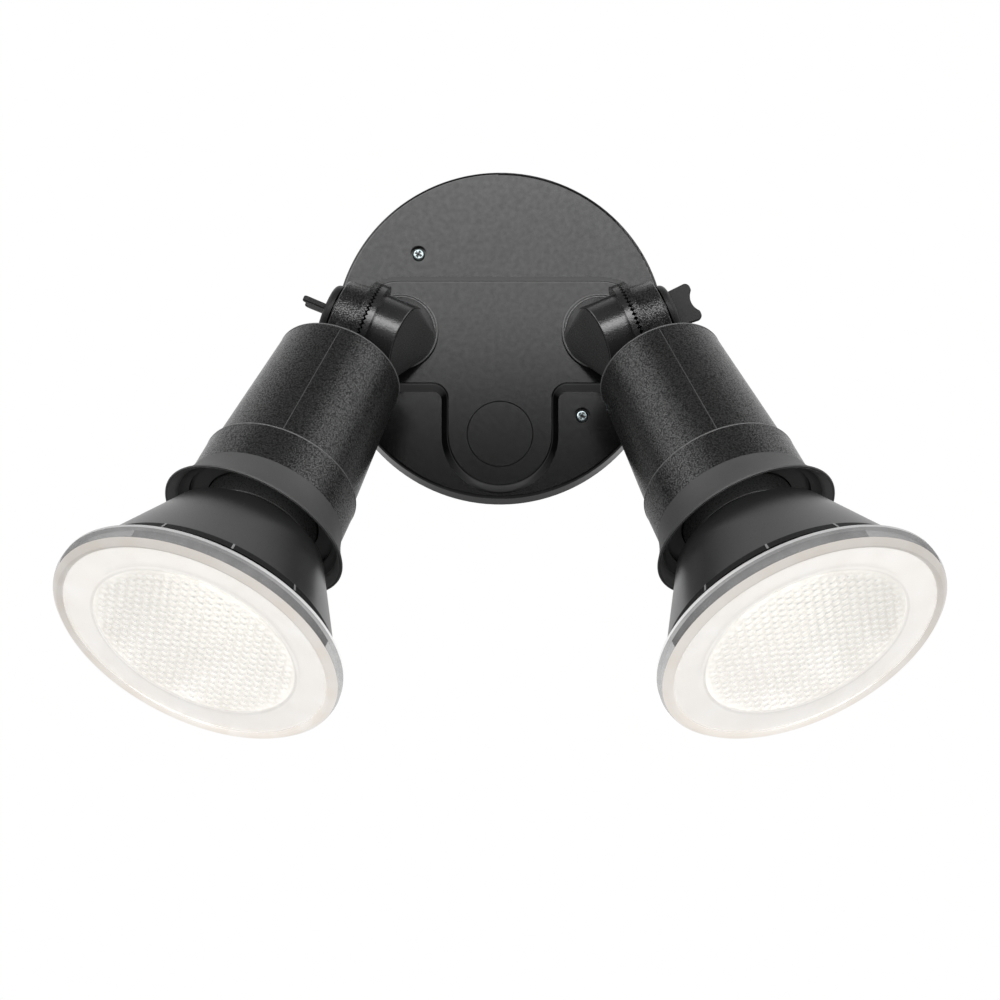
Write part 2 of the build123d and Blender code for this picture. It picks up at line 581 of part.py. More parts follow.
def make_lampholder(tooth_phase):
    flange = Pos(0, 0, TOOTH_GAP / 2) * Rot(180, 0, 0) * toothed_flange(ARM_FLANGE_RADIUS, tooth_phase)
    drum = turned((0, FLANGE_THICKNESS / 2), (ARM_DRUM_RADIUS, FLANGE_THICKNESS / 2),
                  (ARM_DRUM_RADIUS, FLANGE_THICKNESS), (ARM_END_RADIUS, ARM_LENGTH), (0, ARM_LENGTH))
    drum = fillet(rims(drum, ARM_END_RADIUS, ARM_LENGTH), ARM_END_ROUND)
    neck = Box(NECK_END - NECK_START, 2 * NECK_HALF_DEPTH, HOLDER_START + HOLDER_BACK_WALL / 2,
               align=(Align.MIN, Align.CENTER, Align.MIN))
    neck = Pos(NECK_START, 0, 0) * fillet(neck.edges().filter_by(Axis.Z), NECK_ROUND)
    sleeve = turned((0, HOLDER_START), (HOLDER_BACK_RADIUS, HOLDER_START),
                    (HOLDER_STEP_RADIUS, COLLAR_START), (COLLAR_RADIUS, COLLAR_START),
                    (COLLAR_RADIUS + COLLAR_FLARE, HOLDER_FRONT), (0, HOLDER_FRONT))
    sleeve = fillet(rims(sleeve, HOLDER_BACK_RADIUS, HOLDER_START), HOLDER_BACK_ROUND)
    sleeve = fillet(rims(sleeve, COLLAR_RADIUS, COLLAR_START), COLLAR_ROUND)
    bore = turned((0, SOCKET_START), (HOLDER_BACK_RADIUS - HOLDER_WALL, SOCKET_START),
                  (HOLDER_STEP_RADIUS - HOLDER_WALL, SPIGOT_START), (SPIGOT_RADIUS, SPIGOT_START),
                  (SPIGOT_RADIUS, HOLDER_FRONT), (0, HOLDER_FRONT))
    cup_end = ARM_LENGTH - ARM_END_WALL
    holder = LAMP_AXIS * sleeve + neck + ALONG_X * drum
    holder -= ALONG_X * disc(CUP_RADIUS, 0, cup_end)
    holder += ALONG_X * flange
    hub = disc(HUB_RADIUS, HUB_RELIEF, cup_end)
    holder += ALONG_X * hub
    holder -= ALONG_X * disc(BOLT_RADIUS + BOLT_GAP, 0, ARM_LENGTH)
    holder -= LAMP_AXIS * bore
    wire_way = disc(WIRE_WAY_RADIUS, HUB_RADIUS + WIRE_WAY_CLEAR, SOCKET_START)
    return holder - Pos(WIRE_WAY_OFFSET, 0, 0) * wire_way


def contact_screw_places():
    return GridLocations(0, 2 * CONTACT_SCREW_OFFSET, 1, 2)


def make_socket_insert():
    socket_top = CAP_TOP
    insert = disc(SOCKET_RADIUS, SOCKET_START, socket_top)
    insert -= disc(SHELL_RADIUS + SHELL_GAP, SOCKET_SEAT, socket_top)
    chamber_top = SOCKET_START + SOCKET_CHAMBER
    insert -= disc(SOCKET_RADIUS - SOCKET_RIM, SOCKET_START, chamber_top)
    screw_hole = disc(CONTACT_SCREW_RADIUS, chamber_top, chamber_top + CONTACT_SCREW_LENGTH)
    return insert - contact_screw_places() * screw_hole


def make_screw_shell():
    inside = thread_points(SHELL_BORE + CAP_THREAD_DEPTH, SHELL_BORE, CAP_THREAD_START)
    return turned((SHELL_RADIUS, SOCKET_SEAT), (SHELL_RADIUS, CAP_TOP), (SHELL_RADIUS - SHELL_WALL, CAP_TOP),
                  *reversed(inside), (SHELL_RADIUS - SHELL_WALL, SOCKET_SEAT))


def make_centre_contact():
    top = SOCKET_SEAT + CONTACT_THICKNESS
    contact = disc(CONTACT_RADIUS, SOCKET_SEAT, top)
    return fillet(rims(contact, CONTACT_RADIUS, top), CONTACT_ROUND)


def make_contact_screw():
    seat = SOCKET_START + SOCKET_CHAMBER
    head = disc(CONTACT_SCREW_HEAD_RADIUS, seat - CONTACT_SCREW_HEAD_HEIGHT, seat)
    return head + disc(CONTACT_SCREW_RADIUS, seat, seat + CONTACT_SCREW_LENGTH)


def make_holder_lead(side):
    """Wire from the wire way to the near edge of one contact screw."""
    height = SOCKET_START + SOCKET_CHAMBER - CONTACT_SCREW_HEAD_HEIGHT / 2 - HOLDER_LEAD_RADIUS / 2
    start = (WIRE_WAY_OFFSET, side * HOLDER_LEAD_SPREAD, height - HOLDER_LEAD_LENGTH)
    corner = (WIRE_WAY_OFFSET, side * HOLDER_LEAD_SPREAD, height)
    reach = CONTACT_SCREW_OFFSET - CONTACT_SCREW_HEAD_RADIUS - HOLDER_LEAD_RADIUS
    path = FilletPolyline(start, corner, (LAMP_AXIS_OFFSET, side * reach, height), radius=HOLDER_LEAD_BEND)
    return swept(path, HOLDER_LEAD_RADIUS)


def make_skirt():
    lip = HOLDER_FRONT + SKIRT_LENGTH
    lip_bore = SKIRT_LIP_RADIUS - SKIRT_LIP_THICKNESS
    step_height = HOLDER_FRONT + SKIRT_FLOOR + SKIRT_STEP_HEIGHT
    step_radius = SKIRT_BORE + SKIRT_STEP_WIDTH
    floor = HOLDER_FRONT + SKIRT_FLOOR
    bend = (SKIRT_ROOT_RADIUS + SKIRT_FLARE / 3, HOLDER_FRONT + SKIRT_LENGTH / 2)
    inner_bend = (bend[0] - SKIRT_LIP_THICKNESS, bend[1] + SKIRT_LIP_THICKNESS / 2)
    inner_root = (step_radius + SKIRT_LIP_THICKNESS, step_height)
    outside = ThreePointArc((SKIRT_ROOT_RADIUS, HOLDER_FRONT), bend, (SKIRT_LIP_RADIUS, lip))
    inside = Polyline((SKIRT_LIP_RADIUS, lip), (lip_bore, lip), inner_bend, inner_root,
                      (step_radius, step_height), (step_radius, floor), (SKIRT_SEAL_RADIUS, floor),
                      (SKIRT_SEAL_RADIUS, HOLDER_FRONT), (SKIRT_BORE, HOLDER_FRONT),
                      (SKIRT_BORE, SPIGOT_START), (SPIGOT_RADIUS, SPIGOT_START),
                      (SPIGOT_RADIUS, HOLDER_FRONT), (SKIRT_ROOT_RADIUS, HOLDER_FRONT))
    return revolve(Plane.XZ * make_face(outside + inside), Axis.Z)


# Lamp


def cone_bore(height):
    """Inner radius of the lamp cone at a station along the lamp axis."""
    return LAMP_NECK_RADIUS + CONE_SLOPE * (height - NECK_TOP) - CONE_WALL


def make_lamp_body():
    rise_top = CAP_TOP + LAMP_NECK_RISE
    rim = LENS_RING_BORE - LENS_RIM_GAP
    outside = turned((0, CAP_TOP), (LAMP_NECK_ROOT, CAP_TOP), (LAMP_WAIST_RADIUS, rise_top),
                     (LAMP_WAIST_RADIUS, WAIST_TOP), (SHOULDER_RADIUS, SHOULDER_TOP),
                     (LAMP_CONE_RADIUS, CONE_TOP), (RECESS_RADIUS, CONE_TOP),
                     (RECESS_RADIUS, RECESS_TOP), (rim, RECESS_TOP), (rim, LENS_BACK), (0, LENS_BACK))
    bore_top = NECK_TOP + (LAMP_BORE + CONE_WALL - LAMP_NECK_RADIUS) / CONE_SLOPE
    inner_top = SHOULDER_TOP + LAMP_SHOULDER_INSET + LAMP_WALL / 4
    inside = turned((0, CAP_TOP + LAMP_WALL), (LAMP_NECK_ROOT - LAMP_WALL, CAP_TOP + LAMP_WALL),
                    (LAMP_WAIST_RADIUS - LAMP_WALL, rise_top),
                    (LAMP_WAIST_RADIUS - LAMP_WALL, WAIST_TOP + LAMP_SHOULDER_INSET),
                    (cone_bore(inner_top), inner_top),
                    (LAMP_BORE, bore_top), (LAMP_BORE, LENS_BACK), (0, LENS_BACK))
    body = outside - inside
    rib = Box(RECESS_DEPTH + LAMP_WALL / 2, RECESS_RIB_WIDTH, RECESS_LENGTH + LAMP_WALL / 2,
              align=(Align.MAX, Align.CENTER, Align.MIN))
    rib = Pos(LAMP_CONE_RADIUS - RECESS_RIB_DROP, 0, CONE_TOP - LAMP_WALL / 4) * rib
    body += PolarLocations(0, RECESS_RIB_COUNT) * rib
    return body + disc(CAP_ROOT_RADIUS - CAP_WALL, CAP_TOP - CAP_SPIGOT_LENGTH, CAP_TOP)


def make_lamp_lens():
    rear = LENS_RADIUS - LENS_RING_DRAFT
    edge = LENS_RADIUS - LENS_EDGE_DRAFT
    return turned((LENS_RING_BORE, RECESS_TOP), (rear, RECESS_TOP), (LENS_RADIUS, LENS_FRONT - LENS_BEVEL),
                  (edge, LENS_FRONT), (edge - LENS_BEVEL, LENS_FRONT + LENS_FACE_RISE),
                  (LENS_FACE_RADIUS, LENS_FACE), (0, LENS_FACE), (0, LENS_BACK), (LENS_RING_BORE, LENS_BACK))


def make_reflector():
    rim = LAMP_BORE - REFLECTOR_GAP
    mouth = rim - REFLECTOR_RIM
    flange = LENS_BACK - REFLECTOR_WALL
    base = REFLECTOR_BASE_RADIUS
    return turned((base, SPREADER_TOP), (base + REFLECTOR_WALL, SPREADER_TOP), (mouth, flange), (rim, flange),
                  (rim, LENS_BACK), (mouth - REFLECTOR_WALL, LENS_BACK))


def make_heat_spreader():
    return disc(cone_bore(SPREADER_BOTTOM) - REFLECTOR_GAP, SPREADER_BOTTOM, SPREADER_TOP)


def make_led_board():
    return disc(REFLECTOR_BASE_RADIUS - BOARD_GAP, SPREADER_TOP, SPREADER_TOP + BOARD_THICKNESS)


def make_emitters():
    emitter = Box(EMITTER_SIZE, EMITTER_SIZE, EMITTER_HEIGHT, align=SEATED)
    emitter = Pos(0, 0, SPREADER_TOP + BOARD_THICKNESS) * emitter
    circles = zip(EMITTER_RADII, EMITTER_COUNTS)
    return [place * emitter for radius, count in circles for place in PolarLocations(radius, count)]


def make_driver_board():
    board = Box(2 * DRIVER_HALF_WIDTH, BOARD_THICKNESS, DRIVER_LENGTH, align=SEATED)
    return Pos(0, 0, SPREADER_BOTTOM - DRIVER_LENGTH) * board


def make_driver_parts():
    height = SPREADER_BOTTOM - DRIVER_PART_DROP
    coil = Box(DRIVER_COIL_WIDTH, DRIVER_COIL_DEPTH, DRIVER_COIL_HEIGHT, align=SEATED)
    coil = Pos(0, (BOARD_THICKNESS + DRIVER_COIL_DEPTH) / 2, height) * coil
    capacitor = Cylinder(DRIVER_CAPACITOR_RADIUS, DRIVER_CAPACITOR_LENGTH, align=SEATED)
    capacitor = Pos(0, -BOARD_THICKNESS / 2 - DRIVER_CAPACITOR_RADIUS, height) * capacitor
    return [coil, capacitor]


def make_lamp_cap():
    inner = CAP_ROOT_RADIUS - CAP_WALL
    return turned((CAP_GLASS_RADIUS - CAP_SHOULDER, CAP_BOTTOM), (CAP_GLASS_RADIUS, CAP_BOTTOM),
                  *thread_points(CAP_ROOT_RADIUS, CAP_CREST_RADIUS, CAP_THREAD_START),
                  (CAP_ROOT_RADIUS, CAP_TOP), (inner, CAP_TOP), (inner, CAP_THREAD_START),
                  (CAP_GLASS_RADIUS - CAP_SHOULDER, CAP_BOTTOM + CAP_WALL))


def make_cap_insulator():
    bottom = LAMP_TIP + TIP_HEIGHT
    return turned((0, bottom), (TIP_RADIUS, bottom), (CAP_GLASS_RADIUS, CAP_BOTTOM), (0, CAP_BOTTOM))


def make_tip_contact():
    tip = disc(TIP_RADIUS, LAMP_TIP, LAMP_TIP + TIP_HEIGHT)
    return fillet(rims(tip, TIP_RADIUS, LAMP_TIP), TIP_ROUND)


# Assembly


def base_nodes():
    """Pieces that stay on the wall, in the wall frame."""
    right_lead = make_base_lead()
    return {
        "base_cover": [make_base_cover()],
        "mounting_plate": [make_mounting_plate()],
        "wall_seal": [make_wall_seal()],
        "blanking_plug": [make_blanking_plug()],
        "cover_screws": list(screw_places() * make_cover_screw()),
        "terminal_block": [make_terminal_block()],
        "terminal_screws": list(terminal_places() * make_terminal_screw()),
        "base_leads": [right_lead, mirror(right_lead, about=Plane.YZ)],
    }


def head_nodes(tooth_offset, wing_angle):
    """Pieces of the right turret, knuckle, head and lamp, each with its frame."""
    lamp = HEAD * LAMP_AXIS
    return {
        "turret": (SWIVEL, [make_turret()]),
        "turret_seal": (SWIVEL, [make_turret_seal()]),
        "turret_washer": (SWIVEL, [make_turret_washer()]),
        "turret_nut": (SWIVEL, [make_turret_nut()]),
        "clamp_insert": (KNUCKLE, [make_clamp_insert()]),
        "clamp_washer": (KNUCKLE, [make_clamp_washer()]),
        "clamp_bolt": (KNUCKLE, [make_clamp_bolt()]),
        "wing_knob": (KNUCKLE * Rot(0, 0, wing_angle), [make_wing_knob()]),
        "lampholder": (HEAD, [make_lampholder(90 - TILT_AT_REST - tooth_offset)]),
        "socket_insert": (lamp, [make_socket_insert()]),
        "screw_shell": (lamp, [make_screw_shell()]),
        "centre_contact": (lamp, [make_centre_contact()]),
        "contact_screws": (lamp, list(contact_screw_places() * make_contact_screw())),
        "holder_leads": (HEAD, [make_holder_lead(1), make_holder_lead(-1)]),
        "skirt": (lamp, [make_skirt()]),
        "lamp_body": (lamp, [make_lamp_body()]),
        "lamp_lens": (lamp, [make_lamp_lens()]),
        "reflector": (lamp, [make_reflector()]),
        "heat_spreader": (lamp, [make_heat_spreader()]),
        "led_board": (lamp, [make_led_board()]),
        "emitters": (lamp, make_emitters()),
        "driver_board": (lamp, [make_driver_board()]),
        "driver_parts": (lamp, make_driver_parts()),
        "lamp_cap": (lamp, [make_lamp_cap()]),
        "cap_insulator": (lamp, [make_cap_insulator()]),
        "tip_contact": (lamp, [make_tip_contact()]),
    }


def write_node(name, solids):
    """One STEP file for a node, as a single solid or a group of solids."""
    shape = solids[0] if len(solids) == 1 else Compound(children=solids)
    export_step(shape, f"parts/{name}.step")


def main():
    os.makedirs("parts", exist_ok=True)
    for name, solids in base_nodes().items():
        write_node(name, [WALL * solid for solid in solids])
    half_tooth = 180 / TOOTH_COUNT
    for name, (frame, solids) in head_nodes(0, 90).items():
        write_node(f"right_{name}", [frame * solid for solid in solids])
    for name, (frame, solids) in head_nodes(half_tooth, 0).items():
        write_node(f"left_{name}", [mirror(frame * solid, about=Plane.YZ) for solid in solids])


main()
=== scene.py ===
"""Twin head wall spotlight: finishes, lens detail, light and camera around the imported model."""
import json
from math import cos, pi, radians, sin, sqrt
import bmesh
import bpy
from mathutils import Matrix, Vector


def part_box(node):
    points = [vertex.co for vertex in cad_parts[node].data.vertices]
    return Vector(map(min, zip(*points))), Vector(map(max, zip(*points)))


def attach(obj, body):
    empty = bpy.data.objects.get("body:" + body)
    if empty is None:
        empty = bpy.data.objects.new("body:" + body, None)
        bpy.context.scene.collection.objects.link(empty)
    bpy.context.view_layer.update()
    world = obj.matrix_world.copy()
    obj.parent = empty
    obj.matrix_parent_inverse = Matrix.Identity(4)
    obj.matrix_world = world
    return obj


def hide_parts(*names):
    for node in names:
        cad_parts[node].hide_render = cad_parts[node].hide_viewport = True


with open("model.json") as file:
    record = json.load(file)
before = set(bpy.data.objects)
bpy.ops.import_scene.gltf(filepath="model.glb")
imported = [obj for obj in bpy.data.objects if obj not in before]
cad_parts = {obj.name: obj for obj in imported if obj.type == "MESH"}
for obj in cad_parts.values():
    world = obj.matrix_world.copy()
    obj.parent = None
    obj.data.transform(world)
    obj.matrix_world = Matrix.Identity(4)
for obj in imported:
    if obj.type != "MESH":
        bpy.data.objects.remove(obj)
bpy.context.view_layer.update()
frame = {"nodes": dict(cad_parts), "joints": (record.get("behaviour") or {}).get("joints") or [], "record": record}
nodes = frame["nodes"]
joints = {joint["name"]: joint for joint in frame["joints"]}
MM = 0.001
SIDES = ("left", "right")

# Base and turrets, in millimetres
PLUG_RADIUS = 14.1
SCREW_HEAD_RADIUS = 2.65
PIVOT_ABOVE_DOME = 19.3
DOME_RADIUS = 14.8
FOOT_RADIUS = 15.95
FOOT_BEAD = 0.5
END_DISTANCE = 12
BLEND_LIFT = 0.05

# Share of the drum's end that the blend starts from
BLEND_SHARE = 0.985

# Cosines between which the slanting end of a drum leans from the knuckle's axis
END_LEAN = (0.968, 0.986)

# Stations along the lamp axis from the knuckle, and radii about it, in millimetres
COLLAR_START = 90.4
HOLDER_START = 27.7
HOLDER_FRONT = 107.4
HOLDER_BACK_RADIUS = 26.6
HOLDER_STEP_RADIUS = 30.5
COLLAR_RADIUS = 32.1
WAIST_TOP = 118.5
WAIST_RADIUS = 23.0
CONE_EDGE = 165.1
CONE_EDGE_RADIUS = 52.9
CONE_SLOPE = 0.521
LENS_REAR = 168.7
LENS_CREST = 177.0
LENS_RADIUS = 58.3
LENS_BORE = 56.1
LENS_INSIDE = 174.9
FACE_LEVEL = 175.9
PATTERN_RADIUS = 41.0
FACE_RADIUS = 53.2
LAMP_BORE = 48.3
FLANGE_OVERLAP = 7.6
FLANGE_RADIUS = 55.4
GUTTER_LENGTH = 3.2
LIP_START = 109.0
LIP_LENGTH = 9.4

# Small lenses on the lens face, in millimetres
LENS_PITCH = 3.9
LENS_RISE = 0.5
LENS_RING_STEP = 0.42
# Where a thin line of painted shade lies just outside the small lenses
EDGE_LINE_OFFSET = 0.3
EDGE_LINE_WIDTH = 0.4

# Lean of the soft skirt lips towards the lens, at the front and at the inner side
LIP_SAG = 0.083
LIP_LEAN = 0.055

# Facets around round pieces, and the angles in degrees from which their edges are sharp
FACE_FACETS = 480
RING_FACETS = 240
ROUND_FACETS = 160
BEAD_FACETS = 128
SMALL_FACETS = 96
TUBE_FACETS = 12
LINER_STEPS = 90
SHARP_ANGLE = 38
BLEND_SHARP_ANGLE = 30

# Grain of the finishes, in millimetres
CLOUD_SIZE = 28
METAL_CLOUD_SIZE = 2.5
METAL_GRAIN_DEPTH = 0.02

# Base finish: the slopes around the platform, which get painted light, and the radius in metres that they lie
# within
SLOPE_START = 0.25
SLOPE_END = 0.8
LOWER_SLOPE_SHARE = 0.6
SLOPE_INNER = 0.066
SLOPE_OUTER = 0.069
SLOPE_PAINTED_LIGHT_TONE = 0.11

# Heights of the lower and the upper side of a lamp at rest, in metres, between which the painted glow of the lit
# coatings changes strength
LAMP_LOW = -0.168
LAMP_HIGH = -0.106


# Node trees


def wire(tree, source, target):
    """Joins an output socket to an input socket."""
    tree.links.new(source, target)


def new_finish(name):
    """Empty material with its shader, its output and its place on the object."""
    finish = bpy.data.materials.new(name)
    finish.use_nodes = True
    tree = finish.node_tree
    tree.nodes.clear()
    shader = tree.nodes.new("ShaderNodeBsdfPrincipled")
    output = tree.nodes.new("ShaderNodeOutputMaterial")
    place = tree.nodes.new("ShaderNodeTexCoord")
    wire(tree, shader.outputs["BSDF"], output.inputs["Surface"])
    return finish, tree, shader, place.outputs["Object"]


def fill(tree, made, values):
    """Sets the first inputs of a node, each from another socket or to a plain value."""
    for socket, value in zip(made.inputs, values):
        if isinstance(value, bpy.types.NodeSocket):
            wire(tree, value, socket)
        else:
            socket.default_value = value


def number_math(tree, operation, *values, limit=False):
    """Result of a sum on numbers, kept from 0 to 1 if there is a limit."""
    made = tree.nodes.new("ShaderNodeMath")
    made.operation = operation
    made.use_clamp = limit
    fill(tree, made, values)
    return made.outputs["Value"]


def vector_math(tree, operation, *values):
    """Result of a sum on vectors, which is a number for a length or a dot product."""
    made = tree.nodes.new("ShaderNodeVectorMath")
    made.operation = operation
    fill(tree, made, values)
    return made.outputs["Value" if operation in ("LENGTH", "DOT_PRODUCT") else "Vector"]


def split(tree, place):
    """X, Y and Z of a vector."""
    parts = tree.nodes.new("ShaderNodeSeparateXYZ")
    wire(tree, place, parts.inputs["Vector"])
    return parts.outputs


def grey(level):
    """A tone without colour."""
    return (level, level, level)


def speckle(tree, place, size, detail=2.0):
    """Noise whose grains are about this many millimetres across."""
    noise = tree.nodes.new("ShaderNodeTexNoise")
    noise.inputs["Scale"].default_value = 1 / (size * MM)
    noise.inputs["Detail"].default_value = detail
    wire(tree, place, noise.inputs["Vector"])
    return noise.outputs["Fac"]


def between(tree, factor, low, high, start=0.3, end=0.7):
    """A number that goes from low to high as the factor goes from start to end."""
    span = tree.nodes.new("ShaderNodeMapRange")
    span.inputs["From Min"].default_value = start
    span.inputs["From Max"].default_value = end
    span.inputs["To Min"].default_value = low
    span.inputs["To Max"].default_value = high
    wire(tree, factor, span.inputs["Value"])
    return span.outputs["Result"]


def tint(tree, factor, dark, light):
    """A colour between two tones."""
    mix = tree.nodes.new("ShaderNodeMix")
    mix.data_type = "RGBA"
    mix.inputs["A"].default_value = (*dark, 1)
    mix.inputs["B"].default_value = (*light, 1)
    wire(tree, factor, mix.inputs["Factor"])
    return mix.outputs["Result"]


def raised(tree, height, depth, strength, under=None):
    """Surface relief of a depth in millimetres, on top of another relief if one is given."""
    bump = tree.nodes.new("ShaderNodeBump")
    bump.inputs["Strength"].default_value = strength
    bump.inputs["Distance"].default_value = depth * MM
    wire(tree, height, bump.inputs["Height"])
    if under is not None:
        wire(tree, under, bump.inputs["Normal"])
    return bump.outputs["Normal"]


# Finishes


def moulded(name, dark, light, smooth, rough, grain, depth, strength=0.6, shine=0.5):
    """Moulded plastic or rubber: clouded tone, uneven gloss and a grain from the mould."""
    finish, tree, shader, place = new_finish(name)
    shader.inputs["Specular IOR Level"].default_value = shine
    cloud = between(tree, speckle(tree, place, CLOUD_SIZE, detail=4), 0, 1)
    wire(tree, tint(tree, cloud, dark, light), shader.inputs["Base Color"])
    fine = speckle(tree, place, grain)
    wire(tree, between(tree, fine, smooth, rough), shader.inputs["Roughness"])
    coarse = raised(tree, speckle(tree, place, 2.4 * grain, detail=3), depth, strength / 4)
    wire(tree, raised(tree, fine, depth, strength, coarse), shader.inputs["Normal"])
    return finish


def pebbled(name, dark, light, smooth, rough, grain, depth):
    """Moulded plastic with a sandy grain of small round pebbles, painted lighter on their tops and darker in the
    hollows: painted light and shade on the grain.
    """
    finish, tree, shader, place = new_finish(name)
    uneven = speckle(tree, place, 3 * grain)
    wire(tree, between(tree, uneven, smooth, rough), shader.inputs["Roughness"])
    pebbles = tree.nodes.new("ShaderNodeTexVoronoi")
    pebbles.inputs["Scale"].default_value = 1 / (grain * MM)
    wire(tree, place, pebbles.inputs["Vector"])
    height = between(tree, pebbles.outputs["Distance"], 1, 0, start=0, end=0.9)
    shine = between(tree, height, 0.15, 0.95, start=0.25, end=0.85)
    wire(tree, shine, shader.inputs["Specular IOR Level"])
    # Painted light and shade: pebble tops lighter, hollows darker
    wire(tree, tint(tree, height, dark, light), shader.inputs["Base Color"])
    wire(tree, raised(tree, height, depth, 1.0), shader.inputs["Normal"])
    return finish


def base_finish():
    """Satin plastic of the base, painted paler on the slopes around its raised platform: painted light on the
    faces turned up or down.
    """
    finish = moulded("base_plastic", grey(0.002), grey(0.003), 0.15, 0.19, 0.45, 0.01)
    tree = finish.node_tree
    shader = tree.nodes["Principled BSDF"]
    place = tree.nodes["Texture Coordinate"].outputs["Object"]
    shine = between(tree, speckle(tree, place, 2.2), 0.44, 0.56)
    wire(tree, shine, shader.inputs["Specular IOR Level"])
    facing = split(tree, tree.nodes.new("ShaderNodeNewGeometry").outputs["Normal"])["Z"]
    upper = between(tree, facing, 0, 1, SLOPE_START, SLOPE_END)
    lower = between(tree, facing, 0, LOWER_SLOPE_SHARE, -SLOPE_START, -SLOPE_END)
    slope = number_math(tree, "MAXIMUM", upper, lower)
    far = vector_math(tree, "LENGTH", vector_math(tree, "MULTIPLY", place, (1, 0, 1)))
    near = between(tree, far, 1, 0, SLOPE_INNER, SLOPE_OUTER)
    inside = number_math(tree, "MULTIPLY", near, slope)
    # Painted light: the slopes near the platform take a paler tone
    pale = tree.nodes.new("ShaderNodeMix")
    pale.data_type = "RGBA"
    wire(tree, inside, pale.inputs["Factor"])
    wire(tree, shader.inputs["Base Color"].links[0].from_socket, pale.inputs["A"])
    pale.inputs["B"].default_value = (*grey(SLOPE_PAINTED_LIGHT_TONE), 1)
    wire(tree, pale.outputs["Result"], shader.inputs["Base Color"])
    return finish


def bright_metal(name, dark, light, smooth, rough, grain):
    """Plated, turned or cast metal with small differences in tone and polish."""
    finish, tree, shader, place = new_finish(name)
    shader.inputs["Metallic"].default_value = 1.0
    cloud = between(tree, speckle(tree, place, METAL_CLOUD_SIZE, detail=3), 0, 1)
    wire(tree, tint(tree, cloud, dark, light), shader.inputs["Base Color"])
    fine = speckle(tree, place, grain)
    wire(tree, between(tree, fine, smooth, rough), shader.inputs["Roughness"])
    wire(tree, raised(tree, fine, METAL_GRAIN_DEPTH, strength=0.4), shader.inputs["Normal"])
    return finish


def clear_lens():
    """Clear moulded cover with faint flow marks, with painted shade in the hollows between its small lenses and on
    a thin line around them.
    """
    finish, tree, shader, place = new_finish("clear_lens")
    painted_valley_shade = tree.nodes.new("ShaderNodeAttribute")
    painted_valley_shade.attribute_name = "painted_valley_shade"
    tone = tint(tree, painted_valley_shade.outputs["Fac"], (0.99, 0.985, 0.975), (0.62, 0.61, 0.59))
    wire(tree, tone, shader.inputs["Base Color"])
    shader.inputs["Transmission Weight"].default_value = 1.0
    shader.inputs["IOR"].default_value = 1.49
    wire(tree, between(tree, speckle(tree, place, 9, detail=3), 0.05, 0.16), shader.inputs["Roughness"])
    flow = raised(tree, speckle(tree, place, 5), depth=0.05, strength=0.25)
    wire(tree, flow, shader.inputs["Normal"])
    return finish


def clear_rim():
    """Clear moulded wall of the ring, a little milky."""
    finish, tree, shader, place = new_finish("clear_rim")
    cloud = between(tree, speckle(tree, place, 7, detail=3), 0, 1)
    wire(tree, tint(tree, cloud, grey(0.25), grey(0.32)), shader.inputs["Base Color"])
    shader.inputs["Specular IOR Level"].default_value = 0.2
    wire(tree, between(tree, speckle(tree, place, 6, detail=3), 0.2, 0.4), shader.inputs["Roughness"])
    wire(tree, between(tree, speckle(tree, place, 4, detail=3), 0.29, 0.35), shader.inputs["Alpha"])
    return finish


def lit_coating(name, edge, middle, upper, lower, body=(0.78, 0.77, 0.74)):
    """Bright coating in a burning lamp, with one strength of glow at its upper side and one at its lower. The glow
    is the own light of the emitters, and painted light on every other coating, standing in for the lamp's light
    falling on it.
    """
    finish, tree, shader, place = new_finish(name)
    shader.inputs["Base Color"].default_value = (*body, 1)
    shader.inputs["Roughness"].default_value = 0.35
    glow = between(tree, speckle(tree, place, 11), 0, 1)
    wire(tree, tint(tree, glow, edge, middle), shader.inputs["Emission Color"])
    # Painted light: the glow is stronger at one side of the lamp than at the other
    strength = between(tree, split(tree, place)["Z"], lower, upper, LAMP_LOW, LAMP_HIGH)
    wire(tree, strength, shader.inputs["Emission Strength"])
    return finish


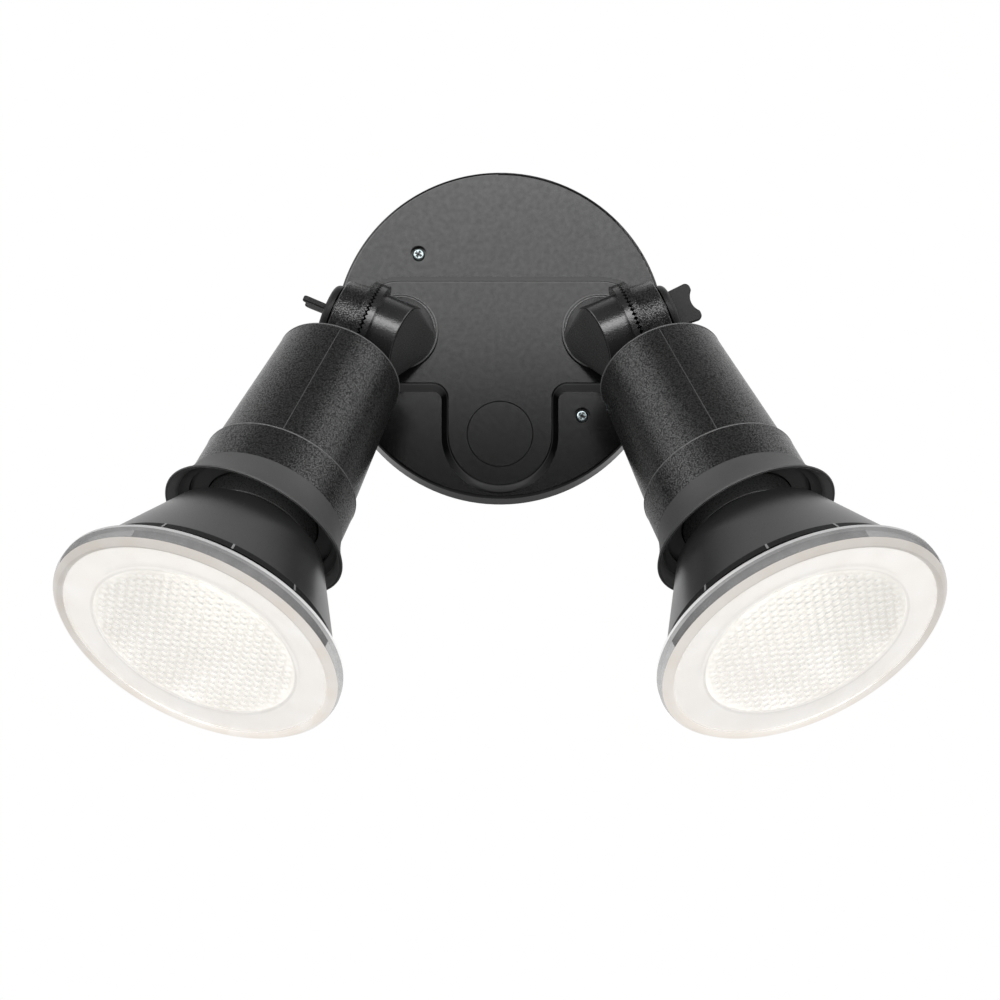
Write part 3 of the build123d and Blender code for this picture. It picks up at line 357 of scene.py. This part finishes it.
# Two tones, least and most roughness, then the grain in millimetres, and for plastics its depth
FINISHES = {
    "base_plastic": base_finish(),
    "plate_plastic": moulded("plate_plastic", (0.035, 0.035, 0.036), grey(0.05), 0.45, 0.6, 0.6, 0.03),
    "seal_rubber": moulded("seal_rubber", grey(0.012), grey(0.02), 0.6, 0.8, 0.5, 0.02),
    "screw_steel": bright_metal("screw_steel", (0.26, 0.31, 0.32), (0.52, 0.60, 0.62), 0.2, 0.4, 0.3),
    "terminal_plastic": moulded("terminal_plastic", (0.66, 0.66, 0.62), (0.78, 0.78, 0.75),
                                0.35, 0.5, 0.6, 0.02),
    "contact_brass": bright_metal("contact_brass", (0.62, 0.42, 0.15), (0.78, 0.58, 0.26), 0.2, 0.36, 0.4),
    "lead_sheath": moulded("lead_sheath", (0.10, 0.045, 0.02), (0.15, 0.07, 0.035), 0.35, 0.5, 0.5, 0.02),
    "knuckle_plastic": moulded("knuckle_plastic", grey(0.010), grey(0.015), 0.17, 0.28, 0.7, 0.1, shine=0.8),
    "inner_plastic": moulded("inner_plastic", grey(0.05), grey(0.08), 0.4, 0.6, 0.6, 0.03),
    "wing_plastic": moulded("wing_plastic", grey(0.010), grey(0.015), 0.34, 0.5, 0.5, 0.06, shine=0.2),
    "holder_plastic": pebbled("holder_plastic", grey(0.006), grey(0.018), 0.22, 0.32, 0.62, 0.07),
    "socket_ceramic": moulded("socket_ceramic", (0.78, 0.76, 0.7), (0.86, 0.85, 0.8), 0.15, 0.3, 0.8, 0.02),
    "skirt_rubber": moulded("skirt_rubber", grey(0.032), grey(0.044), 0.5, 0.62, 0.4, 0.015),
    "lamp_plastic": moulded("lamp_plastic", grey(0.010), grey(0.014), 0.27, 0.34, 0.35, 0.012),
    "lens_clear": clear_lens(),
    # Painted light: the reflector and the board glow as if lit by the emitters; the emitters glow with their own
    # light
    "reflector_coat": lit_coating("reflector_coat", (0.66, 0.64, 0.61), (0.98, 0.97, 0.95),
                                  upper=0.51, lower=0.72, body=(0.62, 0.61, 0.59)),
    "spreader_aluminium": bright_metal("spreader_aluminium", (0.62, 0.62, 0.63), (0.76, 0.76, 0.77),
                                       0.25, 0.4, 0.4),
    "board_laminate": lit_coating("board_laminate", (0.8, 0.78, 0.74), (0.95, 0.94, 0.92),
                                  upper=0.5, lower=0.5),
    "emitter_phosphor": lit_coating("emitter_phosphor", (1.0, 0.98, 0.9), (1.0, 1.0, 0.97),
                                    upper=0.9, lower=0.9),
    "driver_case": moulded("driver_case", (0.06, 0.06, 0.07), (0.1, 0.1, 0.12), 0.35, 0.5, 0.5, 0.02),
    "cap_metal": bright_metal("cap_metal", (0.6, 0.6, 0.58), (0.76, 0.76, 0.74), 0.18, 0.34, 0.4),
    "cap_glass": moulded("cap_glass", grey(0.01), grey(0.018), 0.08, 0.2, 0.8, 0.01),
    "tip_solder": bright_metal("tip_solder", (0.5, 0.5, 0.52), (0.68, 0.68, 0.7), 0.3, 0.5, 0.4),
}
CLEAR_RIM = clear_rim()
# Painted light: the rim liners and the lens lip glow, far stronger at the lower side
PAINTED_GLOW_RIM = lit_coating("painted_glow_rim", grey(0.9), (1.0, 1.0, 0.99), upper=0.10, lower=1.05, body=grey(0.26))
# Painted light: the beige glow of the lens bevel, stronger at the lower side
PAINTED_GLOW_BEVEL = lit_coating("painted_glow_bevel", (0.90, 0.84, 0.77), (0.97, 0.93, 0.88),
                         upper=0.47, lower=0.78, body=(0.14, 0.13, 0.12))
# Painted light: glow on the reflector flange
FLANGE_PAINTED_GLOW = lit_coating("flange_painted_glow", (0.94, 0.90, 0.86), (1.0, 0.985, 0.965),
                       upper=0.72, lower=0.65, body=(0.36, 0.35, 0.34))
# Painted shade: the recess at the wide end of the lamp body, darker than the body
GUTTER_PAINTED_SHADE = moulded("gutter_painted_shade", grey(0.003), grey(0.006), 0.6, 0.8, 0.8, 0.02, shine=0.2)
RIB_GREY = moulded("rib_grey", grey(0.12), grey(0.18), 0.4, 0.6, 0.6, 0.02)
# Painted highlight: a paler tone for beads along edges
EDGE_HIGHLIGHT = moulded("edge_highlight", grey(0.065), grey(0.09), 0.25, 0.4, 0.7, 0.03)
# Painted shade: the dark ring in the gap around the blanking plug
PLUG_GAP_SHADE = moulded("plug_line", grey(0.003), grey(0.005), 0.7, 0.85, 0.6, 0.02, shine=0.1)
# Painted light: a paler copy of the skirt rubber for the inside of the lip
LINING_PAINTED_LIGHT = moulded("lining_painted_light", grey(0.12), grey(0.15), 0.5, 0.62, 0.4, 0.015)
# Painted highlight: a paler tone for the parting lines and the waist bead
SEAM_HIGHLIGHT = moulded("seam_highlight", grey(0.045), grey(0.060), 0.3, 0.45, 0.7, 0.03)
# Painted light: a paler copy of the dark plastic for the turret blends and the neck sleeves
BLEND_PAINTED_LIGHT = moulded("blend_painted_light", grey(0.034), grey(0.046), 0.24, 0.34, 0.7, 0.04)
# Dark steel of the clamp washers, and the painted shade in the cross slots of the screws
DARK_STEEL_AND_SLOT_SHADE = bright_metal("dark_steel_and_slot_shade", grey(0.04), grey(0.07), 0.35, 0.5, 0.3)


def dress_model():
    """Gives every carried-over piece the finish of its slot."""
    for part in frame["record"]["subparts"]:
        mesh_object = nodes[part["node"]]
        for place in mesh_object.material_slots:
            place.material = FINISHES[part["material_slot"]]
    for side in SIDES:
        for place in nodes[f"{side}_clamp_washer"].material_slots:
            place.material = DARK_STEEL_AND_SLOT_SHADE


# Pieces


def lamp_frame(side):
    """Frame on the lamp axis: Z towards the lens, Y towards the front, origin at the knuckle."""
    turn = joints[f"{side}_lamp_turn"]
    along = Vector(turn["axis"]).normalized()
    front = Vector((0, -1, 0))
    front = (front - front.dot(along) * along).normalized()
    across = front.cross(along)
    rows = Matrix((across, front, along)).transposed().to_4x4()
    return Matrix.Translation(Vector(turn["pos_m"])) @ rows


def turned_mesh(name, profile, segments):
    """Closed turned mesh about Z from (radius, height) points in millimetres."""
    points = []
    rings = []
    for radius, height in profile:
        if radius == 0:
            rings.append([len(points)] * segments)
            points.append((0, 0, height * MM))
            continue
        rings.append(range(len(points), len(points) + segments))
        for step in range(segments):
            angle = 2 * pi * step / segments
            points.append((radius * cos(angle) * MM, radius * sin(angle) * MM, height * MM))
    faces = []
    for lower, upper in zip(rings, rings[1:] + rings[:1]):
        for step in range(segments):
            after = (step + 1) % segments
            corners = (lower[step], lower[after], upper[after], upper[step])
            kept = tuple(dict.fromkeys(corners))
            if len(kept) > 2:
                faces.append(kept)
    mesh = bpy.data.meshes.new(name)
    mesh.from_pydata(points, [], faces)
    mesh.validate()
    mesh.polygons.foreach_set("use_smooth", [True] * len(mesh.polygons))
    mesh.set_sharp_from_angle(angle=radians(SHARP_ANGLE))
    return mesh


def bead_profile(radius, height, size):
    """Round section of a thin ring, as (radius, height) points in millimetres."""
    turns = [2 * pi * step / TUBE_FACETS for step in range(TUBE_FACETS)]
    return [(radius + size * cos(turn), height + size * sin(turn)) for turn in turns]


def mesh_of(shape, name):
    """Mesh of a finished bmesh, which is then freed."""
    mesh = bpy.data.meshes.new(name)
    shape.to_mesh(mesh)
    shape.free()
    return mesh


def new_piece(name, mesh, body, slot, place, finish=None):
    """Piece with its place in its mesh, its finish, and the body it moves with."""
    mesh.transform(place)
    piece = bpy.data.objects.new(name, mesh)
    bpy.context.scene.collection.objects.link(piece)
    if not mesh.materials:
        mesh.materials.append(finish or FINISHES[slot])
    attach(piece, body)
    return piece


def small_lens_tree():
    """Pillow lenses on a triangular grid, raised from the flat middle of a lens face."""
    tree = bpy.data.node_groups.new("small_lenses", "GeometryNodeTree")
    face = tree.interface
    face.new_socket("Geometry", in_out="INPUT", socket_type="NodeSocketGeometry")
    for label in ("Pitch", "Rise", "Radius", "Level"):
        face.new_socket(label, in_out="INPUT", socket_type="NodeSocketFloat")
    face.new_socket("Finish", in_out="INPUT", socket_type="NodeSocketMaterial")
    face.new_socket("Geometry", in_out="OUTPUT", socket_type="NodeSocketGeometry")

    given = tree.nodes.new("NodeGroupInput").outputs
    result = tree.nodes.new("NodeGroupOutput")
    place = tree.nodes.new("GeometryNodeInputPosition").outputs["Position"]
    flat = vector_math(tree, "MULTIPLY", place, (1, 1, 0))
    height = vector_math(tree, "DOT_PRODUCT", place, (0, 0, 1))
    far = vector_math(tree, "LENGTH", flat)
    cell = tree.nodes.new("ShaderNodeCombineXYZ")
    wire(tree, number_math(tree, "MULTIPLY", given["Pitch"], sqrt(3)), cell.inputs["X"])
    wire(tree, given["Pitch"], cell.inputs["Y"])
    wire(tree, given["Pitch"], cell.inputs["Z"])
    half = vector_math(tree, "MULTIPLY", cell.outputs["Vector"], (0.5, 0.5, 0.5))
    under = vector_math(tree, "MULTIPLY", half, (-1, -1, -1))
    nearness = []
    for grid in (flat, vector_math(tree, "ADD", flat, half)):
        own = vector_math(tree, "WRAP", grid, half, under)
        nearness.append(vector_math(tree, "LENGTH", vector_math(tree, "MULTIPLY", own, (1, 1, 0))))
    near = number_math(tree, "MINIMUM", *nearness)
    reach = number_math(tree, "MULTIPLY", given["Pitch"], 1 / sqrt(3))
    share = number_math(tree, "DIVIDE", near, reach)
    pillow = number_math(tree, "SUBTRACT", 1.0, number_math(tree, "POWER", share, 2.0), limit=True)
    margin = number_math(tree, "SUBTRACT", given["Radius"], far)
    inside = number_math(tree, "DIVIDE", margin, given["Pitch"], limit=True)
    on_face = number_math(tree, "GREATER_THAN", height, given["Level"])
    rise = number_math(tree, "MULTIPLY", number_math(tree, "MULTIPLY", pillow, inside), on_face)
    # Painted shade between the small lenses and on a thin line just outside them, kept for the lens finish
    between_cells = number_math(tree, "MULTIPLY", number_math(tree, "SUBTRACT", 1.0, pillow), inside)
    edge_radius = number_math(tree, "ADD", given["Radius"], EDGE_LINE_OFFSET * MM)
    edge = number_math(tree, "COMPARE", far, edge_radius, EDGE_LINE_WIDTH * MM)
    edge = number_math(tree, "MULTIPLY", edge, 0.5)
    painted_hollow_shade = number_math(tree, "MULTIPLY", number_math(tree, "MAXIMUM", between_cells, edge), on_face)
    lift = tree.nodes.new("ShaderNodeCombineXYZ")
    wire(tree, number_math(tree, "MULTIPLY", rise, given["Rise"]), lift.inputs["Z"])
    moved = tree.nodes.new("GeometryNodeSetPosition")
    wire(tree, lift.outputs["Vector"], moved.inputs["Offset"])
    kept = tree.nodes.new("GeometryNodeStoreNamedAttribute")
    kept.inputs["Name"].default_value = "painted_valley_shade"
    wire(tree, given["Geometry"], kept.inputs["Geometry"])
    wire(tree, painted_hollow_shade, kept.inputs["Value"])
    wire(tree, kept.outputs["Geometry"], moved.inputs["Geometry"])
    whole = tree.nodes.new("GeometryNodeRealizeInstances")
    wire(tree, moved.outputs["Geometry"], whole.inputs["Geometry"])
    painted = tree.nodes.new("GeometryNodeSetMaterial")
    wire(tree, whole.outputs["Geometry"], painted.inputs["Geometry"])
    wire(tree, given["Finish"], painted.inputs["Material"])
    wire(tree, painted.outputs["Geometry"], result.inputs["Geometry"])
    return tree


def grown_mesh(mesh, tree, sizes):
    """Plain mesh that a node tree makes from a mesh, with the tree's inputs set by label."""
    carrier = bpy.data.objects.new("carrier", mesh)
    bpy.context.scene.collection.objects.link(carrier)
    growth = carrier.modifiers.new("growth", "NODES")
    growth.node_group = tree
    for socket in tree.interface.items_tree:
        if socket.in_out == "INPUT" and socket.name in sizes:
            growth[socket.identifier] = sizes[socket.name]
    seen = carrier.evaluated_get(bpy.context.evaluated_depsgraph_get())
    grown = bpy.data.meshes.new_from_object(seen)
    bpy.data.objects.remove(carrier)
    return grown


def face_profile():
    """Corners of the clear face: flat border, low ridge, fine middle, and its inside."""
    border = [(FACE_RADIUS, LENS_INSIDE), (FACE_RADIUS, 175.6), (50.0, 175.6), (45.0, 175.75),
              (42.2, FACE_LEVEL), (41.6, 176.1), (PATTERN_RADIUS, FACE_LEVEL)]
    ring_count = int(PATTERN_RADIUS / LENS_RING_STEP)
    middle = [(PATTERN_RADIUS - LENS_RING_STEP * ring, FACE_LEVEL) for ring in range(1, ring_count)]
    return border + middle + [(0, FACE_LEVEL), (0, LENS_INSIDE), (PATTERN_RADIUS, LENS_INSIDE)]


def make_lens_covers():
    """Clear covers with their small lenses, in place of the plain ones."""
    tree = small_lens_tree()
    sizes = {"Pitch": LENS_PITCH * MM, "Rise": LENS_RISE * MM, "Radius": PATTERN_RADIUS * MM,
             "Level": (FACE_LEVEL - 0.05) * MM, "Finish": FINISHES["lens_clear"]}
    lip = [(LENS_BORE, LENS_REAR), (57.5, LENS_REAR), (57.9, 169.1), (58.05, 170.2), (LENS_BORE, 170.2)]
    wall = [(LENS_BORE + 0.1, 170.25), (58.05, 170.25), (LENS_RADIUS, 172.6), (58.0, 174.0),
            (57.7, 174.75), (LENS_BORE + 0.1, 174.75)]
    bevel = [(FACE_RADIUS + 0.02, 174.8), (57.6, 174.8), (56.9, 175.6), (55.9, 176.5),
             (55.2, LENS_CREST), (54.4, 176.9), (53.7, 176.4), (FACE_RADIUS + 0.02, 175.6)]
    # The lip and the bevel rings carry painted glow, standing in for the lamp's light in the rim
    rings = (("lip", lip, PAINTED_GLOW_RIM), ("wall", wall, CLEAR_RIM), ("bevel", bevel, PAINTED_GLOW_BEVEL))
    for side in SIDES:
        place = lamp_frame(side)
        plain = turned_mesh(f"{side}_lens_face", face_profile(), FACE_FACETS)
        grown = grown_mesh(plain, tree, sizes)
        face = new_piece(f"{side}_lens_face", grown, f"{side}_lamp", "lens_clear", place)
        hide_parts(f"{side}_lamp_lens")
        for name, profile, finish in rings:
            mesh = turned_mesh(f"{side}_lens_{name}", profile, RING_FACETS)
            new_piece(f"{side}_lens_{name}", mesh, f"{side}_lamp", "lens_clear", place, finish)


def arc_mesh(name, profile, first, last, steps):
    """Closed mesh of a profile swept about Z from one angle to another, in degrees."""
    points = []
    count = len(profile)
    for step in range(steps + 1):
        angle = radians(first + (last - first) * step / steps)
        for radius, height in profile:
            points.append((radius * cos(angle) * MM, radius * sin(angle) * MM, height * MM))
    faces = [tuple(range(count)), tuple(steps * count + corner for corner in reversed(range(count)))]
    for step in range(steps):
        for corner in range(count):
            after = (corner + 1) % count
            here = step * count
            faces.append((here + corner, here + count + corner, here + count + after, here + after))
    mesh = bpy.data.meshes.new(name)
    mesh.from_pydata(points, [], faces)
    mesh.validate()
    return mesh


def make_rim_liners():
    """Liner behind the clear wall, open over the front clips, with painted glow that stands in for the lamp's
    light in the rim, brighter at its lower side.
    """
    liner = [(55.95, 170.3), (56.15, 170.3), (56.15, 174.7), (55.95, 174.7)]
    for side, first, last in (("left", 123, 391), ("right", -211, 57)):
        mesh = arc_mesh(f"{side}_rim_liner", liner, first, last, LINER_STEPS)
        new_piece(f"{side}_rim_liner", mesh, f"{side}_lamp", "lens_clear", lamp_frame(side), PAINTED_GLOW_RIM)


def make_rim_gutters():
    """Gutter at the wide end of each lamp body, darker and duller than the body as painted shade in the recess,
    with its pale ribs.
    """
    start = CONE_EDGE - GUTTER_LENGTH
    low = CONE_EDGE_RADIUS - GUTTER_LENGTH * CONE_SLOPE
    band, rib = [[(low - sunk, start), (low + proud, start), (CONE_EDGE_RADIUS + proud, CONE_EDGE),
                  (CONE_EDGE_RADIUS - sunk, CONE_EDGE)] for sunk, proud in ((0.3, 0.12), (0.2, 0.3))]
    rib_count, rib_half_width = 12, 0.45
    for side, turn in (("left", 25), ("right", 5)):
        place = lamp_frame(side)
        mesh = turned_mesh(f"{side}_rim_gutter", band, ROUND_FACETS)
        new_piece(f"{side}_rim_gutter", mesh, f"{side}_lamp", "lamp_plastic", place, GUTTER_PAINTED_SHADE)
        shape = bmesh.new()
        for count in range(rib_count):
            middle = turn + 360 / rib_count * count
            shape.from_mesh(arc_mesh("gutter_rib", rib, middle - rib_half_width, middle + rib_half_width, 1))
        mesh = mesh_of(shape, f"{side}_gutter_ribs")
        new_piece(f"{side}_gutter_ribs", mesh, f"{side}_lamp", "lamp_plastic", place, RIB_GREY)


def make_skirts():
    """Skirts with soft lips that sag towards the lens at the front, a paler lining inside each lip as painted
    light, and the sleeves on the lamp necks, paler than the lamp body as painted light on the shaded waist.
    """
    outside = [(32.7, HOLDER_FRONT), (33.2, 109.5), (34.3, 112.3), (35.9, 115.4), (38.3, 118.4)]
    inside = [(38.0, 118.9), (37.2, 118.8), (34.8, 115.9), (33.2, 113.4), (32.0, 112.3), (30.5, 111.6)]
    seat = [(30.5, LIP_START), (23.5, LIP_START), (23.5, HOLDER_FRONT), (27.5, HOLDER_FRONT), (27.5, 98.4),
            (29.4, 98.4), (29.4, HOLDER_FRONT)]
    lining = [(37.15, 118.72), (37.15, 118.86), (35.3, 116.65), (34.0, 114.85), (34.0, 114.6), (35.3, 116.45)]
    inner, outer, sleeve_end = WAIST_RADIUS - 0.1, WAIST_RADIUS + 0.08, WAIST_TOP - 0.3
    sleeve = [(inner, 109.6), (outer, 109.6), (outer, sleeve_end), (inner, sleeve_end)]
    for side, lean in (("left", LIP_LEAN), ("right", -LIP_LEAN)):
        place = lamp_frame(side)
        made = [turned_mesh(f"{side}_soft_skirt", outside + inside + seat, ROUND_FACETS),
                turned_mesh(f"{side}_skirt_lining", lining, ROUND_FACETS)]
        for mesh in made:
            for vertex in mesh.vertices:
                share = max(0.0, (vertex.co.z / MM - LIP_START) / LIP_LENGTH)
                vertex.co.z += share * (LIP_SAG * vertex.co.y + lean * vertex.co.x)
        skirt = new_piece(f"{side}_soft_skirt", made[0], f"{side}_head", "skirt_rubber", place)
        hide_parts(f"{side}_skirt")
        new_piece(f"{side}_skirt_lining", made[1], f"{side}_head", "skirt_rubber", place, LINING_PAINTED_LIGHT)
        mesh = turned_mesh(f"{side}_neck_sleeve", sleeve, BEAD_FACETS)
        new_piece(f"{side}_neck_sleeve", mesh, f"{side}_lamp", "lamp_plastic", place, BLEND_PAINTED_LIGHT)


def make_screw_crosses():
    """Cross slots on the heads of the cover screws, painted dark: painted shade in the slots."""
    low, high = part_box("cover_screws")
    head = SCREW_HEAD_RADIUS * MM
    slot_length, slot_depth, slot_width = 3.2, 0.3, 0.7
    size = Matrix.Diagonal((slot_length * MM, slot_depth * MM, slot_width * MM, 1))
    shape = bmesh.new()
    for across, level in ((low[0] + head, high[2] - head), (high[0] - head, low[2] + head)):
        for turn in (20, 110):
            place = Matrix.Translation((across, low[1] + 0.1 * MM, level))
            place = place @ Matrix.Rotation(radians(turn), 4, "Y") @ size
            bmesh.ops.create_cube(shape, size=1, matrix=place)
    new_piece("screw_crosses", mesh_of(shape, "screw_crosses"), "base", "screw_steel", Matrix(), DARK_STEEL_AND_SLOT_SHADE)


def make_plug_line():
    """Painted shade in the gap around the blanking plug, as a thin dark ring."""
    low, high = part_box("blanking_plug")
    inner, outer, thick = PLUG_RADIUS - 0.3, PLUG_RADIUS + 0.2, 0.12
    mesh = turned_mesh("plug_line", [(inner, 0), (outer, 0), (outer, thick), (inner, thick)], SMALL_FACETS)
    middle = ((low[0] + high[0]) / 2, low[1] + 0.06 * MM, (low[2] + high[2]) / 2)
    place = Matrix.Translation(middle) @ Matrix.Rotation(pi / 2, 4, "X")
    new_piece("plug_line", mesh, "base", "base_plastic", place, PLUG_GAP_SHADE)


def make_reflector_flanges():
    """Pale flange of the reflector, over the black rim of the lamp body, with painted glow standing in for the
    lamp's light on it.
    """
    inner, back = LAMP_BORE - FLANGE_OVERLAP, 174.1
    profile = [(inner, back), (FLANGE_RADIUS, back), (FLANGE_RADIUS, 174.18), (inner, 174.6)]
    for side in SIDES:
        mesh = turned_mesh(f"{side}_reflector_flange", profile, ROUND_FACETS)
        place = lamp_frame(side)
        new_piece(f"{side}_reflector_flange", mesh, f"{side}_lamp", "reflector_coat", place, FLANGE_PAINTED_GLOW)


def make_turret_blends():
    """Smooth blend from the slanting end of each drum to the dome below it, paler than the knuckle as painted
    light, and a bead around the foot.
    """
    dome = (DOME_RADIUS + 0.02) * MM
    dome_rings, dome_step = 10, 9
    spokes = 64
    for side in SIDES:
        pivot = Vector(joints[f"{side}_tilt"]["pos_m"])
        inward = Vector(joints[f"{side}_tilt"]["axis"]).normalized()
        if inward.x * pivot.x > 0:
            inward.negate()
        turret = nodes[f"{side}_turret"].data
        end_faces = [face for face in turret.polygons if END_LEAN[0] < face.normal.dot(inward) < END_LEAN[1]]
        rim = {tuple(turret.vertices[corner].co) for face in end_faces for corner in face.vertices}
        rim = [Vector(point) for point in rim if (Vector(point) - pivot).dot(inward) > END_DISTANCE * MM]
        middle = sum(rim, Vector()) / len(rim)
        foot = Vector(joints[f"{side}_pan"]["pos_m"])
        foot.y = pivot.y + PIVOT_ABOVE_DOME * MM
        shape = bmesh.new()
        for point in rim:
            shape.verts.new(middle + BLEND_SHARE * (point - middle) + BLEND_LIFT * MM * inward)
        for ring in range(dome_rings):
            lift = radians(dome_step * ring)
            for step in range(spokes):
                turn = 2 * pi * step / spokes
                spoke = Vector((cos(turn) * cos(lift), -sin(lift), sin(turn) * cos(lift)))
                shape.verts.new(foot + dome * spoke)
        hull = bmesh.ops.convex_hull(shape, input=shape.verts)
        unused = hull["geom_interior"] + hull["geom_unused"]
        spare = {item for item in unused if isinstance(item, bmesh.types.BMVert)}
        bmesh.ops.delete(shape, geom=list(spare), context="VERTS")
        bmesh.ops.recalc_face_normals(shape, faces=shape.faces)
        mesh = mesh_of(shape, f"{side}_turret_blend")
        mesh.polygons.foreach_set("use_smooth", [True] * len(mesh.polygons))
        mesh.set_sharp_from_angle(angle=radians(BLEND_SHARP_ANGLE))
        new_piece(f"{side}_turret_blend", mesh, f"{side}_turret", "knuckle_plastic", Matrix(), BLEND_PAINTED_LIGHT)
        # The foot bead is paler than the knuckle: a painted highlight
        bead = bead_profile(FOOT_RADIUS, 0, FOOT_BEAD)
        mesh = turned_mesh(f"{side}_foot_bead", bead, SMALL_FACETS)
        place = Matrix.Translation(foot) @ Matrix.Rotation(pi / 2, 4, "X")
        new_piece(f"{side}_foot_bead", mesh, f"{side}_turret", "knuckle_plastic", place, EDGE_HIGHLIGHT)


def make_holder_seams():
    """Fine parting line of the mould along the front of each holder, paler than the holder: a painted highlight.
    """
    width, proud, sunk = 0.35, 0.14, 0.3
    stops = [(HOLDER_START + 1.4, HOLDER_BACK_RADIUS), (COLLAR_START - 0.2, HOLDER_STEP_RADIUS)]
    for side, turn in (("left", 7), ("right", -7)):
        points = []
        for height, radius in stops:
            for across, out in ((-width, -sunk), (-width / 3, proud), (width / 3, proud), (width, -sunk)):
                points.append((across * MM, (radius + out) * MM, height * MM))
        faces = [(4, 5, 1, 0), (5, 6, 2, 1), (6, 7, 3, 2), (7, 4, 0, 3), (0, 1, 2, 3), (7, 6, 5, 4)]
        place = lamp_frame(side) @ Matrix.Rotation(radians(turn), 4, "Z")
        mesh = bpy.data.meshes.new(f"{side}_holder_seam")
        mesh.from_pydata(points, [], faces)
        new_piece(f"{side}_holder_seam", mesh, f"{side}_head", "holder_plastic", place, SEAM_HIGHLIGHT)


def make_beads():
    """Thin beads on the collar, the holder's back edge and the lamp's waist, paler than the plastic around them:
    painted highlights along those edges.
    """
    collar = bead_profile(COLLAR_RADIUS - 0.2, COLLAR_START + 0.7, 0.35)
    holder = bead_profile(HOLDER_BACK_RADIUS - 0.15, HOLDER_START + 0.25, 0.3)
    waist = bead_profile(WAIST_RADIUS, WAIST_TOP - 0.2, 0.5)
    beads = (("collar", collar, "head", "holder_plastic", EDGE_HIGHLIGHT),
             ("holder", holder, "head", "holder_plastic", EDGE_HIGHLIGHT),
             ("waist", waist, "lamp", "lamp_plastic", SEAM_HIGHLIGHT))
    for name, ring, body, slot, finish in beads:
        for side in SIDES:
            mesh = turned_mesh(f"{side}_{name}_bead", ring, BEAD_FACETS)
            new_piece(f"{side}_{name}_bead", mesh, f"{side}_{body}", slot, lamp_frame(side), finish)


# Light and camera, in metres, millimetres for the lens, and radians for the rise
CAMERA_PLACE = (0, -0.996, -0.1704)
CAMERA_RISE = 0.1
SENSOR_WIDTH = 36.0
FOCAL_LENGTH = 82.8
SIDE_BOX = {"aim": (0, -0.05, -0.05), "width": 0.9, "height": 0.9, "power": 4}
OBJECT_MIDDLE = (0, 0, 0)
LENS_LEVEL = (0, 0, -0.1)


def make_studio():
    """White surroundings for the camera, soft studio light for the object."""
    world = bpy.data.worlds.new("studio")
    bpy.context.scene.world = world
    world.use_nodes = True
    tree = world.node_tree
    tree.nodes.clear()
    way = split(tree, tree.nodes.new("ShaderNodeTexCoord").outputs["Generated"])
    rear = between(tree, way["Y"], 0, 1, start=-0.1, end=0.6)
    raised_part = between(tree, way["Z"], 0.15, 1, start=-0.22, end=0.15)
    behind = number_math(tree, "MULTIPLY", rear, raised_part)
    aside = between(tree, number_math(tree, "ABSOLUTE", way["X"]), 0.11, 0.4, start=0.3, end=0.95)
    below = between(tree, way["Z"], 0.3, 0.11, start=-0.8, end=-0.2)
    around = number_math(tree, "MAXIMUM", aside, below)
    soft = tree.nodes.new("ShaderNodeBackground")
    wire(tree, number_math(tree, "MAXIMUM", around, behind), soft.inputs["Color"])
    white = tree.nodes.new("ShaderNodeBackground")
    white.inputs["Color"].default_value = (1, 1, 1, 1)
    ray = tree.nodes.new("ShaderNodeLightPath").outputs
    either = number_math(tree, "MAXIMUM", ray["Is Camera Ray"], ray["Is Transmission Ray"])
    mix = tree.nodes.new("ShaderNodeMixShader")
    wire(tree, either, mix.inputs["Fac"])
    wire(tree, soft.outputs["Background"], mix.inputs[1])
    wire(tree, white.outputs["Background"], mix.inputs[2])
    output = tree.nodes.new("ShaderNodeOutputWorld")
    wire(tree, mix.outputs["Shader"], output.inputs["Surface"])


def make_softbox(name, place, aim, width, height, power):
    """Rectangular soft light that points at a place, with its sizes in metres and its power in watts."""
    lamp = bpy.data.lights.new(name, "AREA")
    lamp.shape = "RECTANGLE"
    lamp.size = width
    lamp.size_y = height
    lamp.energy = power
    softbox = bpy.data.objects.new(name, lamp)
    softbox.location = place
    softbox.rotation_euler = (Vector(aim) - Vector(place)).to_track_quat("-Z", "Y").to_euler()
    bpy.context.scene.collection.objects.link(softbox)
    return softbox


def make_camera():
    """Camera a little below the base, looking slightly upwards."""
    lens = bpy.data.cameras.new("camera")
    lens.sensor_width = SENSOR_WIDTH
    lens.lens = FOCAL_LENGTH
    camera = bpy.data.objects.new("camera", lens)
    camera.location = CAMERA_PLACE
    camera.rotation_euler = (pi / 2 + CAMERA_RISE, 0, 0)
    bpy.context.scene.collection.objects.link(camera)
    bpy.context.scene.camera = camera


dress_model()
make_lens_covers()
make_rim_liners()
make_rim_gutters()
make_skirts()
make_screw_crosses()
make_reflector_flanges()
make_plug_line()
make_turret_blends()
make_holder_seams()
make_beads()
make_studio()
make_softbox("front_softbox", (0.0, -1.15, 0.45), OBJECT_MIDDLE, width=2.4, height=0.58, power=13.4)
make_softbox("upper_softbox", (0.0, -1.1, 0.52), OBJECT_MIDDLE, width=2.2, height=0.3, power=5.8)
front_fill = make_softbox("front_fill", (0.0, -1.2, -0.2), LENS_LEVEL, width=1.6, height=0.5, power=9)
front_fill.visible_glossy = False
make_softbox("left_softbox", (-1.0, -0.25, 0.72), **SIDE_BOX)
make_softbox("right_softbox", (1.0, -0.25, 0.72), **SIDE_BOX)
make_camera()
bpy.context.scene.view_settings.view_transform = "Standard"
